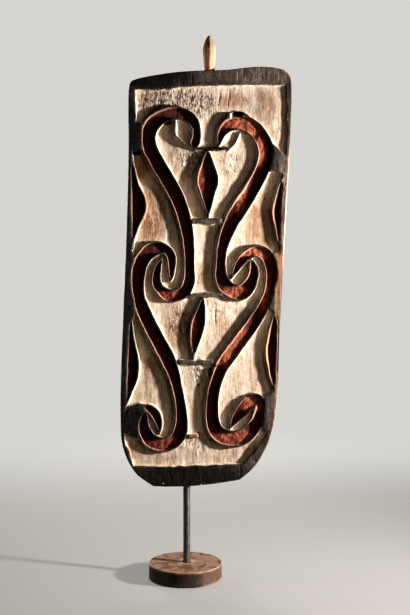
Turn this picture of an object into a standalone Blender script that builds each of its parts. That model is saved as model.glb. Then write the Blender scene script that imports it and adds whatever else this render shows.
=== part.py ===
"""An Asmat shield, carved in one board, on its rod-and-disc stand.

Frame: +Z up, the carved face looks along -Y, the origin is the middle of the disc's underside.
Sizes below are millimetres; the model is built in metres.
"""
import math

import bmesh
import bpy
from mathutils import Matrix, Vector
from mathutils.geometry import intersect_line_line_2d

MM = 0.001

# --- Stand ---------------------------------------------------------------------------------
DISC_DIAMETER = 157
DISC_HEIGHT = 32
DISC_EDGE_BEVEL = 1.2
DISC_SIDES = 72
ROD_X = 3
ROD_DIAMETER = 15
ROD_SIDES = 32
ROD_IN_DISC = 20
ROD_IN_BOARD = 36
FIT_GAP = 0.3

# --- Board ---------------------------------------------------------------------------------
BOARD_X = 44.5          # the board's own zero line, right of the disc's centre
BOARD_Z = 196           # its lower edge above the ground
THICKNESS = 26
FRONT_Y = -THICKNESS / 2
BACK_Y = THICKNESS / 2
GROUND_DEPTH = 9.5      # limewashed ground below the carved face
CHANNEL_DEPTH = 8       # red channels below the carved face
CREST = 5               # width of the ridge left standing along each channel
OUTLINE_STEP = 28
CURVE_STEP = 12
LARGEST_KINK = 12       # points looked through for a side that crosses itself in a tight curl
MARGIN = 6              # how far a cutter runs out of the wood

# Everything on the board is drawn as (x, z) from BOARD_X, BOARD_Z. Each run is one smooth
# curve, and runs meet at a corner.
OUTLINE = (
    ((-88, 0), (-34, 1), (30, 8), (73, 15)),
    ((73, 15), (103, 41), (124, 73), (139, 109), (148, 148), (153, 197), (158, 336), (163, 422),
     (172, 593), (182, 764), (184, 860), (182, 878), (169, 892), (148, 898), (116, 900), (83, 898),
     (51, 894), (-34, 891), (-77, 887), (-148, 874), (-161, 868), (-165, 854), (-166, 721),
     (-171, 529), (-178, 357), (-183, 208), (-183, 143), (-181, 101), (-175, 75), (-165, 51),
     (-148, 26), (-128, 11), (-113, 1)),
    ((-113, 1), (-88, 0)),
)
FIELD = (
    ((-150, 849), (-88, 851), (-60, 855), (30, 859), (94, 860), (171, 859)),
    ((171, 859), (171, 721), (163, 593), (157, 507), (153, 400), (154, 336), (152, 250), (144, 200),
     (131, 117)),
    ((131, 117), (115, 94), (101, 74), (85, 57), (78, 50)),
    ((78, 50), (41, 48), (-13, 46), (-88, 44), (-155, 46)),
    ((-155, 46), (-159, 60), (-165, 78), (-172, 90), (-173, 114)),
    ((-173, 114), (-170, 186), (-168, 250), (-162, 389), (-157, 480), (-160, 614), (-159, 717)),
    ((-159, 717), (-150, 785), (-150, 849)),
)

# A stroke is a red channel between two ridges: (x, z, width between the ridges) down its middle.
STROKES = {
    "upper_left_band": (
        (-19, 723, 0), (-19, 745, 17), (-26, 784, 24), (-42, 795, 24), (-65, 801, 27),
        (-89, 796, 27), (-109, 784, 31), (-120, 769, 32), (-124, 750, 29), (-121, 726, 30),
        (-108, 699, 30), (-63, 620, 30), (-51, 588, 28), (-42, 552, 26), (-37, 509, 22),
        (-36, 467, 21), (-37, 439, 24), (-47, 419, 25), (-64, 410, 24), (-82, 410, 26),
        (-97, 420, 20), (-106, 434, 19), (-107, 452, 17), (-104, 468, 14), (-95, 491, 0),
    ),
    "upper_right_band": (
        (25, 723, 0), (28, 739, 8), (32, 754, 15), (40, 768, 22), (51, 776, 27), (65, 780, 29),
        (80, 779, 30), (94, 773, 31), (108, 762, 31), (119, 747, 31), (126, 730, 33),
        (128, 714, 32), (125, 694, 31), (116, 671, 30), (96, 635, 31), (74, 601, 34),
        (56, 571, 31), (42, 538, 26), (33, 506, 21), (31, 476, 20), (32, 450, 26),
        (40, 431, 30), (55, 420, 30), (71, 416, 33), (87, 425, 30), (97, 441, 25),
        (102, 460, 20), (100, 475, 13), (95, 488, 0),
    ),
    "lower_left_band": (
        (-77, 440, 0), (-75, 450, 7), (-74, 468, 14), (-74, 486, 18), (-79, 500, 19),
        (-89, 509, 20), (-104, 511, 27), (-120, 506, 32), (-132, 494, 31), (-141, 478, 31),
        (-146, 455, 30), (-147, 430, 27), (-144, 404, 25), (-135, 376, 29), (-105, 315, 30),
        (-86, 280, 31), (-71, 244, 26), (-62, 210, 21), (-55, 173, 21), (-53, 142, 25),
        (-56, 118, 29), (-67, 100, 28), (-83, 91, 28), (-101, 91, 29), (-118, 98, 30),
        (-131, 116, 26), (-135, 135, 21), (-133, 148, 14), (-129, 160, 0),
    ),
    "lower_left_hook": (
        (-135, 169, 0), (-124, 168, 14), (-109, 155, 19), (-101, 133, 12), (-99, 113, 0),
    ),
    "lower_right_band": (
        (54, 446, 0), (59, 456, 6), (65, 468, 12), (73, 480, 17), (83, 492, 20), (95, 501, 21),
        (109, 505, 23), (123, 500, 26), (133, 490, 27), (139, 475, 27), (141, 456, 25),
        (138, 432, 22), (132, 408, 22), (121, 383, 24), (104, 355, 26), (57, 292, 29),
        (36, 262, 28), (23, 232, 25), (15, 201, 25), (12, 170, 26), (13, 144, 27), (20, 121, 31),
        (35, 108, 33), (55, 103, 33), (77, 106, 32), (94, 119, 30), (106, 135, 28),
        (112, 154, 23), (115, 171, 21), (112, 182, 26), (102, 184, 30), (90, 177, 30),
        (78, 164, 26), (66, 150, 20), (58, 138, 11), (51, 125, 0),
    ),
    "upper_lozenge": (
        (3, 721, 0), (3, 710, 12), (3, 689, 27), (3, 657, 45), (3, 638, 35), (4, 613, 20),
        (5, 591, 7), (5, 578, 0),
    ),
    "lower_lozenge": (
        (-7, 407, 0), (-8, 398, 7), (-10, 381, 16), (-18, 346, 28), (-22, 325, 24),
        (-25, 304, 15), (-26, 287, 5), (-26, 274, 0),
    ),
    "left_upper_crescent": (
        (-160, 719, 0), (-157, 678, 7), (-153, 646, 16), (-145, 602, 32), (-152, 559, 15),
        (-156, 533, 5), (-157, 509, 0),
    ),
    "left_lower_crescent": (
        (-163, 387, 0), (-161, 325, 10), (-157, 258, 25), (-160, 229, 22), (-165, 205, 12),
        (-171, 175, 0),
    ),
    "right_upper_crescent": (
        (165, 674, 0), (162, 653, 5), (157, 629, 13), (152, 590, 19), (155, 541, 9), (158, 507, 0),
    ),
    "right_lower_crescent": (
        (147, 372, 0), (146, 353, 12), (143, 330, 19), (140, 292, 24), (141, 257, 19),
        (143, 235, 13), (146, 216, 5), (148, 205, 0),
    ),
}

# Ridges that stand alone inside the two upper curls, (x, z) down their middle.
EYE_RIDGES = {
    "left_eye_ridge": ((-66, 786), (-65, 753), (-57, 745), (-44, 733), (-33, 726)),
    "right_eye_ridge": ((72, 757), (66, 744), (62, 735), (54, 727), (47, 721)),
}

# Links across the middle: (left x, right x, lower z, upper z).
LINKS = {
    "top_link": (-26, 52, 720, 729),
    "heart_link": (-34, 34, 562, 575),
    "curl_link": (-38, 35, 404, 416),
    "lower_heart_link": (-60, 16, 261, 272),
    "bottom_link": (-42, -4, 103, 113),
}

# Places where a band runs into the rim and the wood between them was left standing.
BRIDGES = {
    "upper_left_bridge": ((-156, 779), (-135, 781), (-135, 721), (-163, 717)),
    "upper_right_bridge": ((140, 728), (156, 720), (173, 713), (177, 662), (160, 670), (148, 675),
                           (136, 674)),
    "middle_left_bridge": ((-171, 511), (-154, 503), (-146, 482), (-151, 432), (-147, 379),
                           (-156, 353), (-171, 353)),
    "middle_right_bridge": ((141, 501), (165, 507), (162, 362), (147, 366), (141, 377), (131, 381),
                            (142, 432)),
    "lower_right_bridge": ((118, 190), (136, 202), (158, 210), (154, 118), (128, 117), (116, 133)),
    "lower_left_bridge": ((-180, 148), (-163, 173), (-143, 180), (-124, 176), (-128, 160),
                          (-137, 139), (-137, 109), (-148, 101), (-167, 113), (-180, 116)),
}

# --- Grip on the back ----------------------------------------------------------------------
GRIP_Z = 450
GRIP_WIDTH = 26
GRIP_HALF_LENGTH = 92
GRIP_RISE = 48
GAP_HALF_LENGTH = 62
GAP_RISE = 30
GRIP_SQUARENESS = 0.62
GRIP_SINK = 4
GRIP_STEPS = 14

# --- Peg on the top edge -------------------------------------------------------------------
PEG_X = 7.5
PEG_FOOT_Z = 892        # the board's top edge at the peg
PEG_SINK = 14
PEG_SIDES = 8
PEG_DEPTH_SHARE = 0.8
PEG_PROFILE = ((0, 10.5), (24, 12.6), (40, 14), (54, 13.2), (63, 11), (70, 8), (76, 3.5), (78, 0))

COLOURS = {
    "shield_board": ((0.80, 0.72, 0.61), 0.8, 0.0),
    "top_peg": ((0.74, 0.60, 0.42), 0.7, 0.0),
    "support_rod": ((0.10, 0.10, 0.11), 0.35, 0.9),
    "base_disc": ((0.34, 0.21, 0.14), 0.5, 0.0),
}


def clear_scene():
    for obj in list(bpy.data.objects):
        bpy.data.objects.remove(obj, do_unlink=True)


def new_collection(name):
    collection = bpy.data.collections.new(name)
    bpy.context.scene.collection.children.link(collection)
    return collection


def material_for(name):
    colour, roughness, metallic = COLOURS[name]
    material = bpy.data.materials.new(name)
    material.use_nodes = True
    shader = material.node_tree.nodes["Principled BSDF"]
    shader.inputs["Base Color"].default_value = (*colour, 1)
    shader.inputs["Roughness"].default_value = roughness
    shader.inputs["Metallic"].default_value = metallic
    return material


def mesh_object(name, mesh, collection):
    obj = bpy.data.objects.new(name, mesh)
    collection.objects.link(obj)
    return obj


def finish_part(obj):
    obj.data.materials.clear()
    obj.data.materials.append(material_for(obj.name))
    return obj


def hide_cutter(obj):
    obj.hide_render = True
    obj.display_type = "WIRE"
    return obj


def smooth_run(points, step):
    """A centripetal Catmull-Rom curve through the points, read about every step."""
    knots = [Vector(p) for p in points]
    if len(knots) == 2:
        return knots
    knots.insert(0, 2 * knots[0] - knots[1])
    knots.append(2 * knots[-1] - knots[-2])
    curve = []
    for a, b, c, d in zip(knots, knots[1:], knots[2:], knots[3:]):
        t0 = 0.0
        t1 = t0 + math.sqrt((b - a).length)
        t2 = t1 + math.sqrt((c - b).length)
        t3 = t2 + math.sqrt((d - c).length)
        pieces = max(1, round((c - b).length / step))
        for i in range(pieces):
            t = t1 + (t2 - t1) * i / pieces
            ab = a.lerp(b, (t - t0) / (t1 - t0))
            bc = b.lerp(c, (t - t1) / (t2 - t1))
            cd = c.lerp(d, (t - t2) / (t3 - t2))
            abc = ab.lerp(bc, (t - t0) / (t2 - t0))
            bcd = bc.lerp(cd, (t - t1) / (t3 - t1))
            curve.append(abc.lerp(bcd, (t - t1) / (t2 - t1)))
    curve.append(knots[-2])
    return curve


def closed_outline(runs, step):
    loop = []
    for run in runs:
        loop.extend(smooth_run(run, step)[:-1])
    return loop


def ribbon(stations, grow, step=CURVE_STEP):
    """The loop around a stroke whose width is changed by grow; empty where nothing is left."""
    spine = smooth_run(stations, step)
    sides = ([], [])
    for i, point in enumerate(spine):
        half = (point[2] + grow) / 2
        if half < 0.6:
            continue
        ahead = spine[min(i + 1, len(spine) - 1)]
        behind = spine[max(i - 1, 0)]
        along = Vector((ahead[0] - behind[0], ahead[1] - behind[1])).normalized()
        across = Vector((-along.y, along.x))
        centre = Vector((point[0], point[1]))
        for side, sign in zip(sides, (1, -1)):
            place = centre + across * half * sign
            if not side or (place - side[-1]).dot(along) > 0.12 * step:
                side.append(place)
    return untangled(sides[0]) + untangled(sides[1])[::-1]


def untangled(path):
    """The path without the small loops that an offset makes on the inside of a tight turn."""
    start = 0
    while start < len(path) - 3:
        for end in range(min(start + LARGEST_KINK, len(path) - 2), start + 1, -1):
            crossing = intersect_line_line_2d(*path[start:start + 2], *path[end:end + 2])
            if crossing:
                path = path[:start + 1] + [crossing] + path[end + 1:]
                break
        start += 1
    return path


def plate(name, loop, near_y, far_y, collection):
    """A flat shape on the board's face, given as (x, z), from near_y back to far_y."""
    curve = bpy.data.curves.new(name, "CURVE")
    curve.dimensions = "2D"
    curve.fill_mode = "BOTH"
    curve.extrude = (far_y - near_y) / 2 * MM
    spline = curve.splines.new("POLY")
    spline.points.add(len(loop) - 1)
    for slot, point in zip(spline.points, loop):
        slot.co = (point[0] * MM, point[1] * MM, 0, 1)
    spline.use_cyclic_u = True
    place = Matrix.Translation((BOARD_X * MM, (near_y + far_y) / 2 * MM, BOARD_Z * MM))
    return solid_from_curve(curve, place @ Matrix.Rotation(math.radians(90), 4, "X"), collection)


def solid_from_curve(curve, matrix, collection):
    guide = mesh_object(curve.name + "_guide", curve, collection)
    bpy.context.view_layer.update()
    evaluated = guide.evaluated_get(bpy.context.evaluated_depsgraph_get())
    mesh = bpy.data.meshes.new_from_object(evaluated)
    bpy.data.objects.remove(guide, do_unlink=True)
    weld(mesh)
    obj = mesh_object(curve.name, mesh, collection)
    obj.matrix_world = matrix
    return obj


def weld(mesh):
    bm = bmesh.new()
    bm.from_mesh(mesh)
    bmesh.ops.remove_doubles(bm, verts=bm.verts, dist=0.00001)
    bmesh.ops.recalc_face_normals(bm, faces=bm.faces)
    bm.to_mesh(mesh)
    bm.free()


def cylinder(name, radius, low, high, sides, collection):
    """An upright cylinder from height low to high, round the Z axis."""
    mesh = bpy.data.meshes.new(name)
    bm = bmesh.new()
    bmesh.ops.create_cone(bm, cap_ends=True, segments=sides, radius1=radius * MM,
                          radius2=radius * MM, depth=(high - low) * MM)
    bmesh.ops.translate(bm, verts=bm.verts, vec=(0, 0, (low + high) / 2 * MM))
    bm.to_mesh(mesh)
    bm.free()
    return mesh_object(name, mesh, collection)


def boolean(target, tool, operation):
    modifier = target.modifiers.new(operation.title(), "BOOLEAN")
    modifier.operation = operation
    modifier.solver = "EXACT"
    if isinstance(tool, bpy.types.Collection):
        modifier.operand_type = "COLLECTION"
        modifier.collection = tool
    else:
        modifier.object = tool


def standing_wood(collection):
    """Everything in the field that keeps the height of the rim."""
    near, far = FRONT_Y - 2 * MARGIN, FRONT_Y + GROUND_DEPTH + MARGIN
    loops = {name: ribbon(stroke, CREST) for name, stroke in STROKES.items()}
    for name, path in EYE_RIDGES.items():
        loops[name] = ribbon([(x, z, 0) for x, z in path], CREST)
    for name, (left, right, low, high) in LINKS.items():
        loops[name] = ((left, low), (right, low), (right, high), (left, high))
    loops.update(BRIDGES)
    for name, loop in loops.items():
        hide_cutter(plate(name, loop, near, far, collection))


def channel_cutters(collection):
    for name, stroke in STROKES.items():
        loop = ribbon(stroke, -CREST)
        cutter = plate(name + "_channel", loop, FRONT_Y - MARGIN, FRONT_Y + CHANNEL_DEPTH, collection)
        hide_cutter(cutter)


def arch(half_length, rise, foot):
    """Half a squared-off ellipse in the YZ plane, with its feet sunk to foot."""
    points = [(foot, -half_length)]
    for i in range(GRIP_STEPS + 1):
        angle = math.pi * i / GRIP_STEPS
        squared = math.copysign(abs(math.cos(angle)) ** GRIP_SQUARENESS, math.cos(angle))
        points.append((BACK_Y + rise * math.sin(angle) ** GRIP_SQUARENESS, -half_length * squared))
    points.append((foot, half_length))
    return points


def back_grip(collection):
    """The upright grip left standing on the back, an arch with room for a hand behind it."""
    foot = BACK_Y - GRIP_SINK
    profile = arch(GRIP_HALF_LENGTH, GRIP_RISE, foot) + arch(GAP_HALF_LENGTH, GAP_RISE, foot)[::-1]
    curve = bpy.data.curves.new("back_grip", "CURVE")
    curve.dimensions = "2D"
    curve.fill_mode = "BOTH"
    curve.extrude = GRIP_WIDTH / 2 * MM
    spline = curve.splines.new("POLY")
    spline.points.add(len(profile) - 1)
    for slot, (y, z) in zip(spline.points, profile):
        slot.co = (y * MM, z * MM, 0, 1)
    spline.use_cyclic_u = True
    upright = Matrix(((0, 0, 1), (1, 0, 0), (0, 1, 0))).to_4x4()
    place = Matrix.Translation((BOARD_X * MM, 0, (BOARD_Z + GRIP_Z) * MM))
    return hide_cutter(solid_from_curve(curve, place @ upright, collection))


def shield_board(parts, cutters):
    outline = closed_outline(OUTLINE, OUTLINE_STEP)
    board = plate("shield_board", outline, FRONT_Y, BACK_Y, parts)
    field = closed_outline(FIELD, OUTLINE_STEP)
    ground = plate("ground_cutter", field, FRONT_Y - MARGIN, FRONT_Y + GROUND_DEPTH, cutters)
    standing = bpy.data.collections.new("standing_wood")
    channels = bpy.data.collections.new("channels")
    cutters.children.link(standing)
    cutters.children.link(channels)
    standing_wood(standing)
    channel_cutters(channels)
    boolean(ground, standing, "DIFFERENCE")
    boolean(board, hide_cutter(ground), "DIFFERENCE")
    boolean(board, channels, "DIFFERENCE")
    boolean(board, back_grip(cutters), "UNION")
    rod_socket = cylinder("rod_socket", ROD_DIAMETER / 2 + FIT_GAP, BOARD_Z - 2 * MARGIN,
                          BOARD_Z + ROD_IN_BOARD + FIT_GAP, ROD_SIDES, cutters)
    rod_socket.location.x = ROD_X * MM
    boolean(board, hide_cutter(rod_socket), "DIFFERENCE")
    peg_socket = peg_solid("peg_socket", FIT_GAP, ((-PEG_SINK, PEG_PROFILE[0][1]),
                                                   (3 * MARGIN, PEG_PROFILE[0][1])), cutters)
    boolean(board, hide_cutter(peg_socket), "DIFFERENCE")
    return finish_part(board)


def peg_solid(name, grow, profile, collection):
    """An eight-sided whittled solid whose profile is (height, half width) above the top edge."""
    mesh = bpy.data.meshes.new(name)
    bm = bmesh.new()
    rings = []
    for height, half in profile:
        if half == 0:
            rings.append([bm.verts.new((0, 0, height * MM))])
            continue
        corner = (half + grow) / math.cos(math.pi / PEG_SIDES) * MM
        ring = []
        for i in range(PEG_SIDES):
            angle = math.tau * i / PEG_SIDES - math.pi / 2
            x = corner * math.cos(angle)
            y = corner * math.sin(angle) * PEG_DEPTH_SHARE
            ring.append(bm.verts.new((x, y, (height - (grow if not rings else 0)) * MM)))
        rings.append(ring)
    for lower, upper in zip(rings, rings[1:]):
        for i in range(PEG_SIDES):
            j = (i + 1) % PEG_SIDES
            if len(upper) == 1:
                bm.faces.new((lower[i], lower[j], upper[0]))
            else:
                bm.faces.new((lower[i], lower[j], upper[j], upper[i]))
    bm.faces.new(rings[0][::-1])
    if len(rings[-1]) > 1:
        bm.faces.new(rings[-1])
    bm.to_mesh(mesh)
    bm.free()
    obj = mesh_object(name, mesh, collection)
    obj.location = ((BOARD_X + PEG_X) * MM, 0, (BOARD_Z + PEG_FOOT_Z) * MM)
    return obj


def top_peg(parts):
    foot = (-PEG_SINK, PEG_PROFILE[0][1])
    return finish_part(peg_solid("top_peg", 0, (foot, *PEG_PROFILE), parts))


def support_rod(parts):
    low = DISC_HEIGHT - ROD_IN_DISC
    rod = cylinder("support_rod", ROD_DIAMETER / 2, low, BOARD_Z + ROD_IN_BOARD, ROD_SIDES, parts)
    rod.location.x = ROD_X * MM
    rod.data.shade_smooth()
    return finish_part(rod)


def base_disc(parts, cutters):
    disc = cylinder("base_disc", DISC_DIAMETER / 2, 0, DISC_HEIGHT, DISC_SIDES, parts)
    bevel = disc.modifiers.new("Worn edges", "BEVEL")
    bevel.width = DISC_EDGE_BEVEL * MM
    bevel.segments = 2
    bevel.limit_method = "ANGLE"
    socket = cylinder("disc_socket", ROD_DIAMETER / 2 + FIT_GAP, DISC_HEIGHT - ROD_IN_DISC - FIT_GAP,
                      DISC_HEIGHT + MARGIN, ROD_SIDES, cutters)
    socket.location.x = ROD_X * MM
    boolean(disc, hide_cutter(socket), "DIFFERENCE")
    return finish_part(disc)


def main():
    clear_scene()
    parts = new_collection("asmat_shield")
    cutters = new_collection("cutters")
    base_disc(parts, cutters)
    support_rod(parts)
    shield_board(parts, cutters)
    top_peg(parts)


main()
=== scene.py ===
"""Looks of a carved and painted Asmat shield on its rod-and-disc stand."""

import math

import bmesh
import bpy
import numpy as np
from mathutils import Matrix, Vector
from mathutils.geometry import delaunay_2d_cdt


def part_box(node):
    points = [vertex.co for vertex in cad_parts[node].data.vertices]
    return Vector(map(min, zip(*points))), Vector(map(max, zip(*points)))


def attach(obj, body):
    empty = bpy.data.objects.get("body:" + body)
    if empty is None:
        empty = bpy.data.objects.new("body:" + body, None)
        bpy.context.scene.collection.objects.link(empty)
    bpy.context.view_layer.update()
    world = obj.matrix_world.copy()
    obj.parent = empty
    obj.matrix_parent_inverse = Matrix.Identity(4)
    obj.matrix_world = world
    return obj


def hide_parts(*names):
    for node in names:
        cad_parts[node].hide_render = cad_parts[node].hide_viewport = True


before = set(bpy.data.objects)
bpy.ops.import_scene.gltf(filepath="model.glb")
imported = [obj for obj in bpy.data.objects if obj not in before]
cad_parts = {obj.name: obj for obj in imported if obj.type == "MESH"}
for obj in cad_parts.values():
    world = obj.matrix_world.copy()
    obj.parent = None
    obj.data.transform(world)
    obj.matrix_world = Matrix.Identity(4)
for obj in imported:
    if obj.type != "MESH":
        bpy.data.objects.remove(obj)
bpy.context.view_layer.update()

MM = 0.001

# --- The carving, in millimetres -------------------------------------------------------------
# Everything on the board is drawn as (x, z) from the board's own zero, as the solid is.
GROUND_DEPTH = 9.5      # limewashed ground below the carved face
CHANNEL_DEPTH = 10.2    # red channels below the carved face, at the deepest
CREST = 5               # ridge left standing along each channel

OUTLINE = (
    ((-88, 0), (-34, 1), (30, 8), (73, 15)),
    ((73, 15), (103, 41), (124, 73), (139, 109), (148, 148), (153, 197), (158, 336), (163, 422),
     (172, 593), (182, 764), (184, 860), (182, 878), (169, 892), (148, 898), (116, 900), (83, 898),
     (51, 894), (-34, 891), (-77, 887), (-148, 874), (-161, 868), (-165, 854), (-166, 721),
     (-171, 529), (-178, 357), (-183, 208), (-183, 143), (-181, 101), (-175, 75), (-165, 51),
     (-148, 26), (-128, 11), (-113, 1)),
    ((-113, 1), (-88, 0)),
)
FIELD = (
    ((-150, 849), (-88, 851), (-60, 855), (30, 859), (94, 860), (171, 859)),
    ((171, 859), (171, 721), (163, 593), (157, 507), (153, 400), (154, 336), (152, 250), (144, 200),
     (131, 117)),
    ((131, 117), (115, 94), (101, 74), (85, 57), (78, 50)),
    ((78, 50), (41, 48), (-13, 46), (-88, 44), (-155, 46)),
    ((-155, 46), (-159, 60), (-165, 78), (-172, 90), (-173, 114)),
    ((-173, 114), (-170, 186), (-168, 250), (-162, 389), (-157, 480), (-160, 614), (-159, 717)),
    ((-159, 717), (-150, 785), (-150, 849)),
)
# A stroke is a red channel between two ridges: (x, z, width between the ridges) down its middle.
BANDS = {
    "upper_left_band": (
        (-26, 730, 8), (-24, 737, 19), (-21, 749, 17), (-21, 766, 17), (-28, 783, 22), (-43, 795, 24),
        (-65, 801, 27),
        (-89, 796, 27), (-109, 784, 31), (-120, 769, 32), (-124, 750, 29), (-121, 726, 30),
        (-108, 699, 30), (-63, 620, 30), (-51, 588, 28), (-42, 552, 26), (-37, 509, 22),
        (-36, 467, 21), (-37, 439, 24), (-47, 419, 25), (-64, 410, 24), (-82, 410, 26),
        (-97, 420, 20), (-106, 434, 19), (-107, 452, 17), (-104, 468, 14), (-95, 491, 0),
    ),
    "upper_right_band": (
        (25, 723, 0), (28, 739, 8), (32, 754, 15), (40, 768, 22), (51, 776, 27), (65, 780, 29),
        (80, 779, 30), (94, 773, 31), (108, 762, 31), (119, 747, 31), (126, 730, 33),
        (128, 714, 32), (125, 694, 31), (116, 671, 30), (96, 635, 31), (74, 601, 34),
        (56, 571, 31), (42, 538, 26), (33, 506, 21), (31, 476, 20), (32, 450, 26),
        (40, 431, 30), (55, 420, 30), (71, 416, 33), (87, 425, 30), (97, 441, 25),
        (102, 460, 20), (100, 475, 13), (95, 488, 0),
    ),
    "lower_left_band": (
        (-77, 440, 0), (-75, 450, 7), (-74, 468, 14), (-74, 486, 18), (-79, 500, 19),
        (-89, 509, 20), (-104, 511, 27), (-120, 506, 32), (-132, 494, 31), (-141, 478, 31),
        (-146, 455, 30), (-147, 430, 27), (-144, 404, 25), (-135, 376, 29), (-105, 315, 30),
        (-86, 280, 31), (-71, 244, 26), (-62, 210, 21), (-55, 173, 21), (-53, 142, 25),
        (-56, 118, 29), (-67, 100, 28), (-83, 91, 28), (-101, 91, 29), (-118, 98, 30),
        (-131, 116, 26), (-135, 135, 21), (-133, 148, 14), (-129, 160, 0),
    ),
    "lower_left_hook": (
        (-135, 169, 0), (-124, 168, 14), (-109, 155, 19), (-101, 133, 12), (-99, 113, 0),
    ),
    "lower_right_band": (
        (54, 446, 0), (59, 456, 6), (65, 468, 12), (73, 480, 17), (83, 492, 20), (95, 501, 21),
        (109, 505, 23), (123, 500, 26), (133, 490, 27), (139, 475, 27), (141, 456, 25),
        (138, 432, 22), (132, 408, 22), (121, 383, 24), (104, 355, 26), (57, 292, 29),
        (36, 262, 28), (23, 232, 25), (15, 201, 25), (12, 170, 26), (13, 144, 27), (20, 121, 31),
        (35, 108, 33), (55, 103, 33), (77, 106, 32), (94, 119, 30), (106, 135, 28),
        (112, 154, 23), (115, 171, 21), (112, 182, 26), (102, 184, 30), (90, 177, 30),
        (78, 164, 26), (66, 150, 20), (58, 138, 11), (51, 125, 0),
    ),
}
LOZENGES = {
    "upper_lozenge": (
        (3, 721, 0), (3, 710, 12), (3, 689, 27), (3, 657, 45), (3, 638, 35), (4, 613, 20),
        (5, 591, 7), (5, 578, 0),
    ),
    "lower_lozenge": (
        (-7, 407, 0), (-8, 398, 7), (-10, 381, 16), (-18, 346, 28), (-22, 325, 24),
        (-25, 304, 15), (-26, 287, 5), (-26, 274, 0),
    ),
}
CRESCENTS = {
    "left_upper_crescent": (
        (-160, 719, 0), (-157, 678, 7), (-153, 646, 16), (-145, 602, 32), (-152, 559, 15),
        (-156, 533, 5), (-157, 509, 0),
    ),
    "left_lower_crescent": (
        (-163, 387, 0), (-161, 325, 10), (-157, 258, 25), (-160, 229, 22), (-165, 205, 12),
        (-171, 175, 0),
    ),
    "right_upper_crescent": (
        (165, 674, 0), (162, 653, 5), (157, 629, 13), (152, 590, 19), (155, 541, 9), (158, 507, 0),
    ),
    "right_lower_crescent": (
        (147, 372, 0), (146, 353, 12), (143, 330, 19), (140, 292, 24), (141, 257, 19),
        (143, 235, 13), (146, 216, 5), (148, 205, 0),
    ),
}
# Ridges that stand alone inside the two upper curls.
EYE_RIDGES = {
    "left_eye_ridge": ((-66, 786), (-65, 753), (-57, 745), (-44, 733), (-33, 726)),
    "right_eye_ridge": ((72, 757), (66, 744), (62, 735), (54, 727), (47, 721)),
}
# Links across the middle: (left x, right x, lower z, upper z).
LINKS = {
    "top_link": (-26, 52, 720, 729),
    "heart_link": (-34, 34, 562, 575),
    "curl_link": (-38, 35, 404, 416),
    "lower_heart_link": (-60, 16, 261, 272),
    "bottom_link": (-40, -17, 105, 113),
}
# Wood left standing: where a band runs into the rim, and round the break in a ridge.
BRIDGES = {
    "upper_left_bridge": ((-156, 779), (-135, 781), (-135, 721), (-163, 717)),
    "upper_right_bridge": ((138, 742), (152, 728), (166, 715), (174, 709), (177, 662), (160, 670),
                           (148, 675), (136, 674)),
    "middle_left_bridge": ((-171, 511), (-154, 503), (-146, 482), (-151, 432), (-147, 379),
                           (-156, 353), (-171, 353)),
    "middle_right_bridge": ((141, 501), (165, 507), (162, 362), (147, 366), (141, 377), (131, 381),
                            (142, 432)),
    "notched_ridge": ((34, 782), (42, 794), (52, 801), (62, 806), (80, 804), (92, 797), (104, 782),
                      (60, 770)),
    "upper_right_rim": ((157, 530), (176, 530), (180, 690), (166, 690), (162, 640), (158, 590)),
    "lower_right_bridge": ((118, 190), (136, 202), (158, 210), (154, 118), (128, 117), (116, 133)),
    "lower_left_bridge": ((-180, 148), (-163, 173), (-143, 180), (-124, 176), (-128, 160),
                          (-137, 139), (-137, 109), (-148, 101), (-167, 113), (-180, 116)),
}

# --- How the chisel leaves its walls ---------------------------------------------------------
WALL_TOP = -1.2         # where a wall leaves the ridge, measured into the ground
WALL_FOOT = 1.6         # where it meets the ground
WALL_HOLLOW = 1.8       # how hollow it is: 1 is a plain slope
LONG_WALL_REACH = 1.3   # how much further it runs in the places with long walls
CHANNEL_TOP = -1.1      # the same four for a channel's wall, measured into the channel
CHANNEL_FOOT = 0.7
CHANNEL_HOLLOW = 1.6
GENTLE_WALL_REACH = 2.9
LIT_RED_SHALLOW = 0.22    # share of its depth that a channel loses where its red is painted as lit
CUT_TO_MARK = 4         # a surface cut this deep shows tool marks and no wear
EDGE_ROUND = 2.4        # worn round edge of the whole board
# Distances from the edges at which the mesh has rows of points.
GROUND_ROWS = (-1.2, -0.8, -0.2, 0.4, 1.0, 1.7, 3.4, 6.2)
CHANNEL_ROWS = (-1.1, -0.7, -0.1, 0.5, 1.2, 3.6, 7.4)
EDGE_ROWS = (0.35, 1.1, 2.4, 4.5)
ROW_STEP = 2.6          # spacing of points along a row
BACK_ROW_STEP = 5.2
FILL_STEP = 4.2         # spacing of points on open surfaces
BACK_STEP = 7.5
FIELD_CELL = 1.5        # cell of the grid that the rows are traced on
FAR = 20                # distances stop here
SPINE_STEP = 1.5        # spacing of the discs that make a stroke
SPINE_BLOCK = 24        # discs measured at a time
LOOP_BLOCK = 16         # sides of a loop measured at a time
# Rows on the board's edge, as shares of its thickness there.
SIDE_LEVELS = (0.14, 0.29, 0.43, 0.57, 0.71, 0.86)
# Layers of tool marks and wear: (seed, size across, size along, height).
GROUND_MARKS = ((3, 5, 26, 0.26), (4, 11, 70, 0.34), (5, 14, 11, 0.42), (18, 7, 9, 0.24))
CHOPPED_MARKS = ((9, 5, 9, 1.0), (10, 9, 20, 0.6))
WEAR = 0.35             # on surfaces that aren't cut, before its own marks

# --- The grip on the back, the peg, the rod and the disc -------------------------------------
BOARD_THICKNESS = 26
GRIP_Z = 450
GRIP_WIDTH = 26
GRIP_HALF_LENGTH, GRIP_RISE = 92, 48
GAP_HALF_LENGTH, GAP_RISE = 62, 30
GRIP_SQUARENESS = 0.62
GRIP_SIDES, GRIP_STEPS = 40, 56
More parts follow.
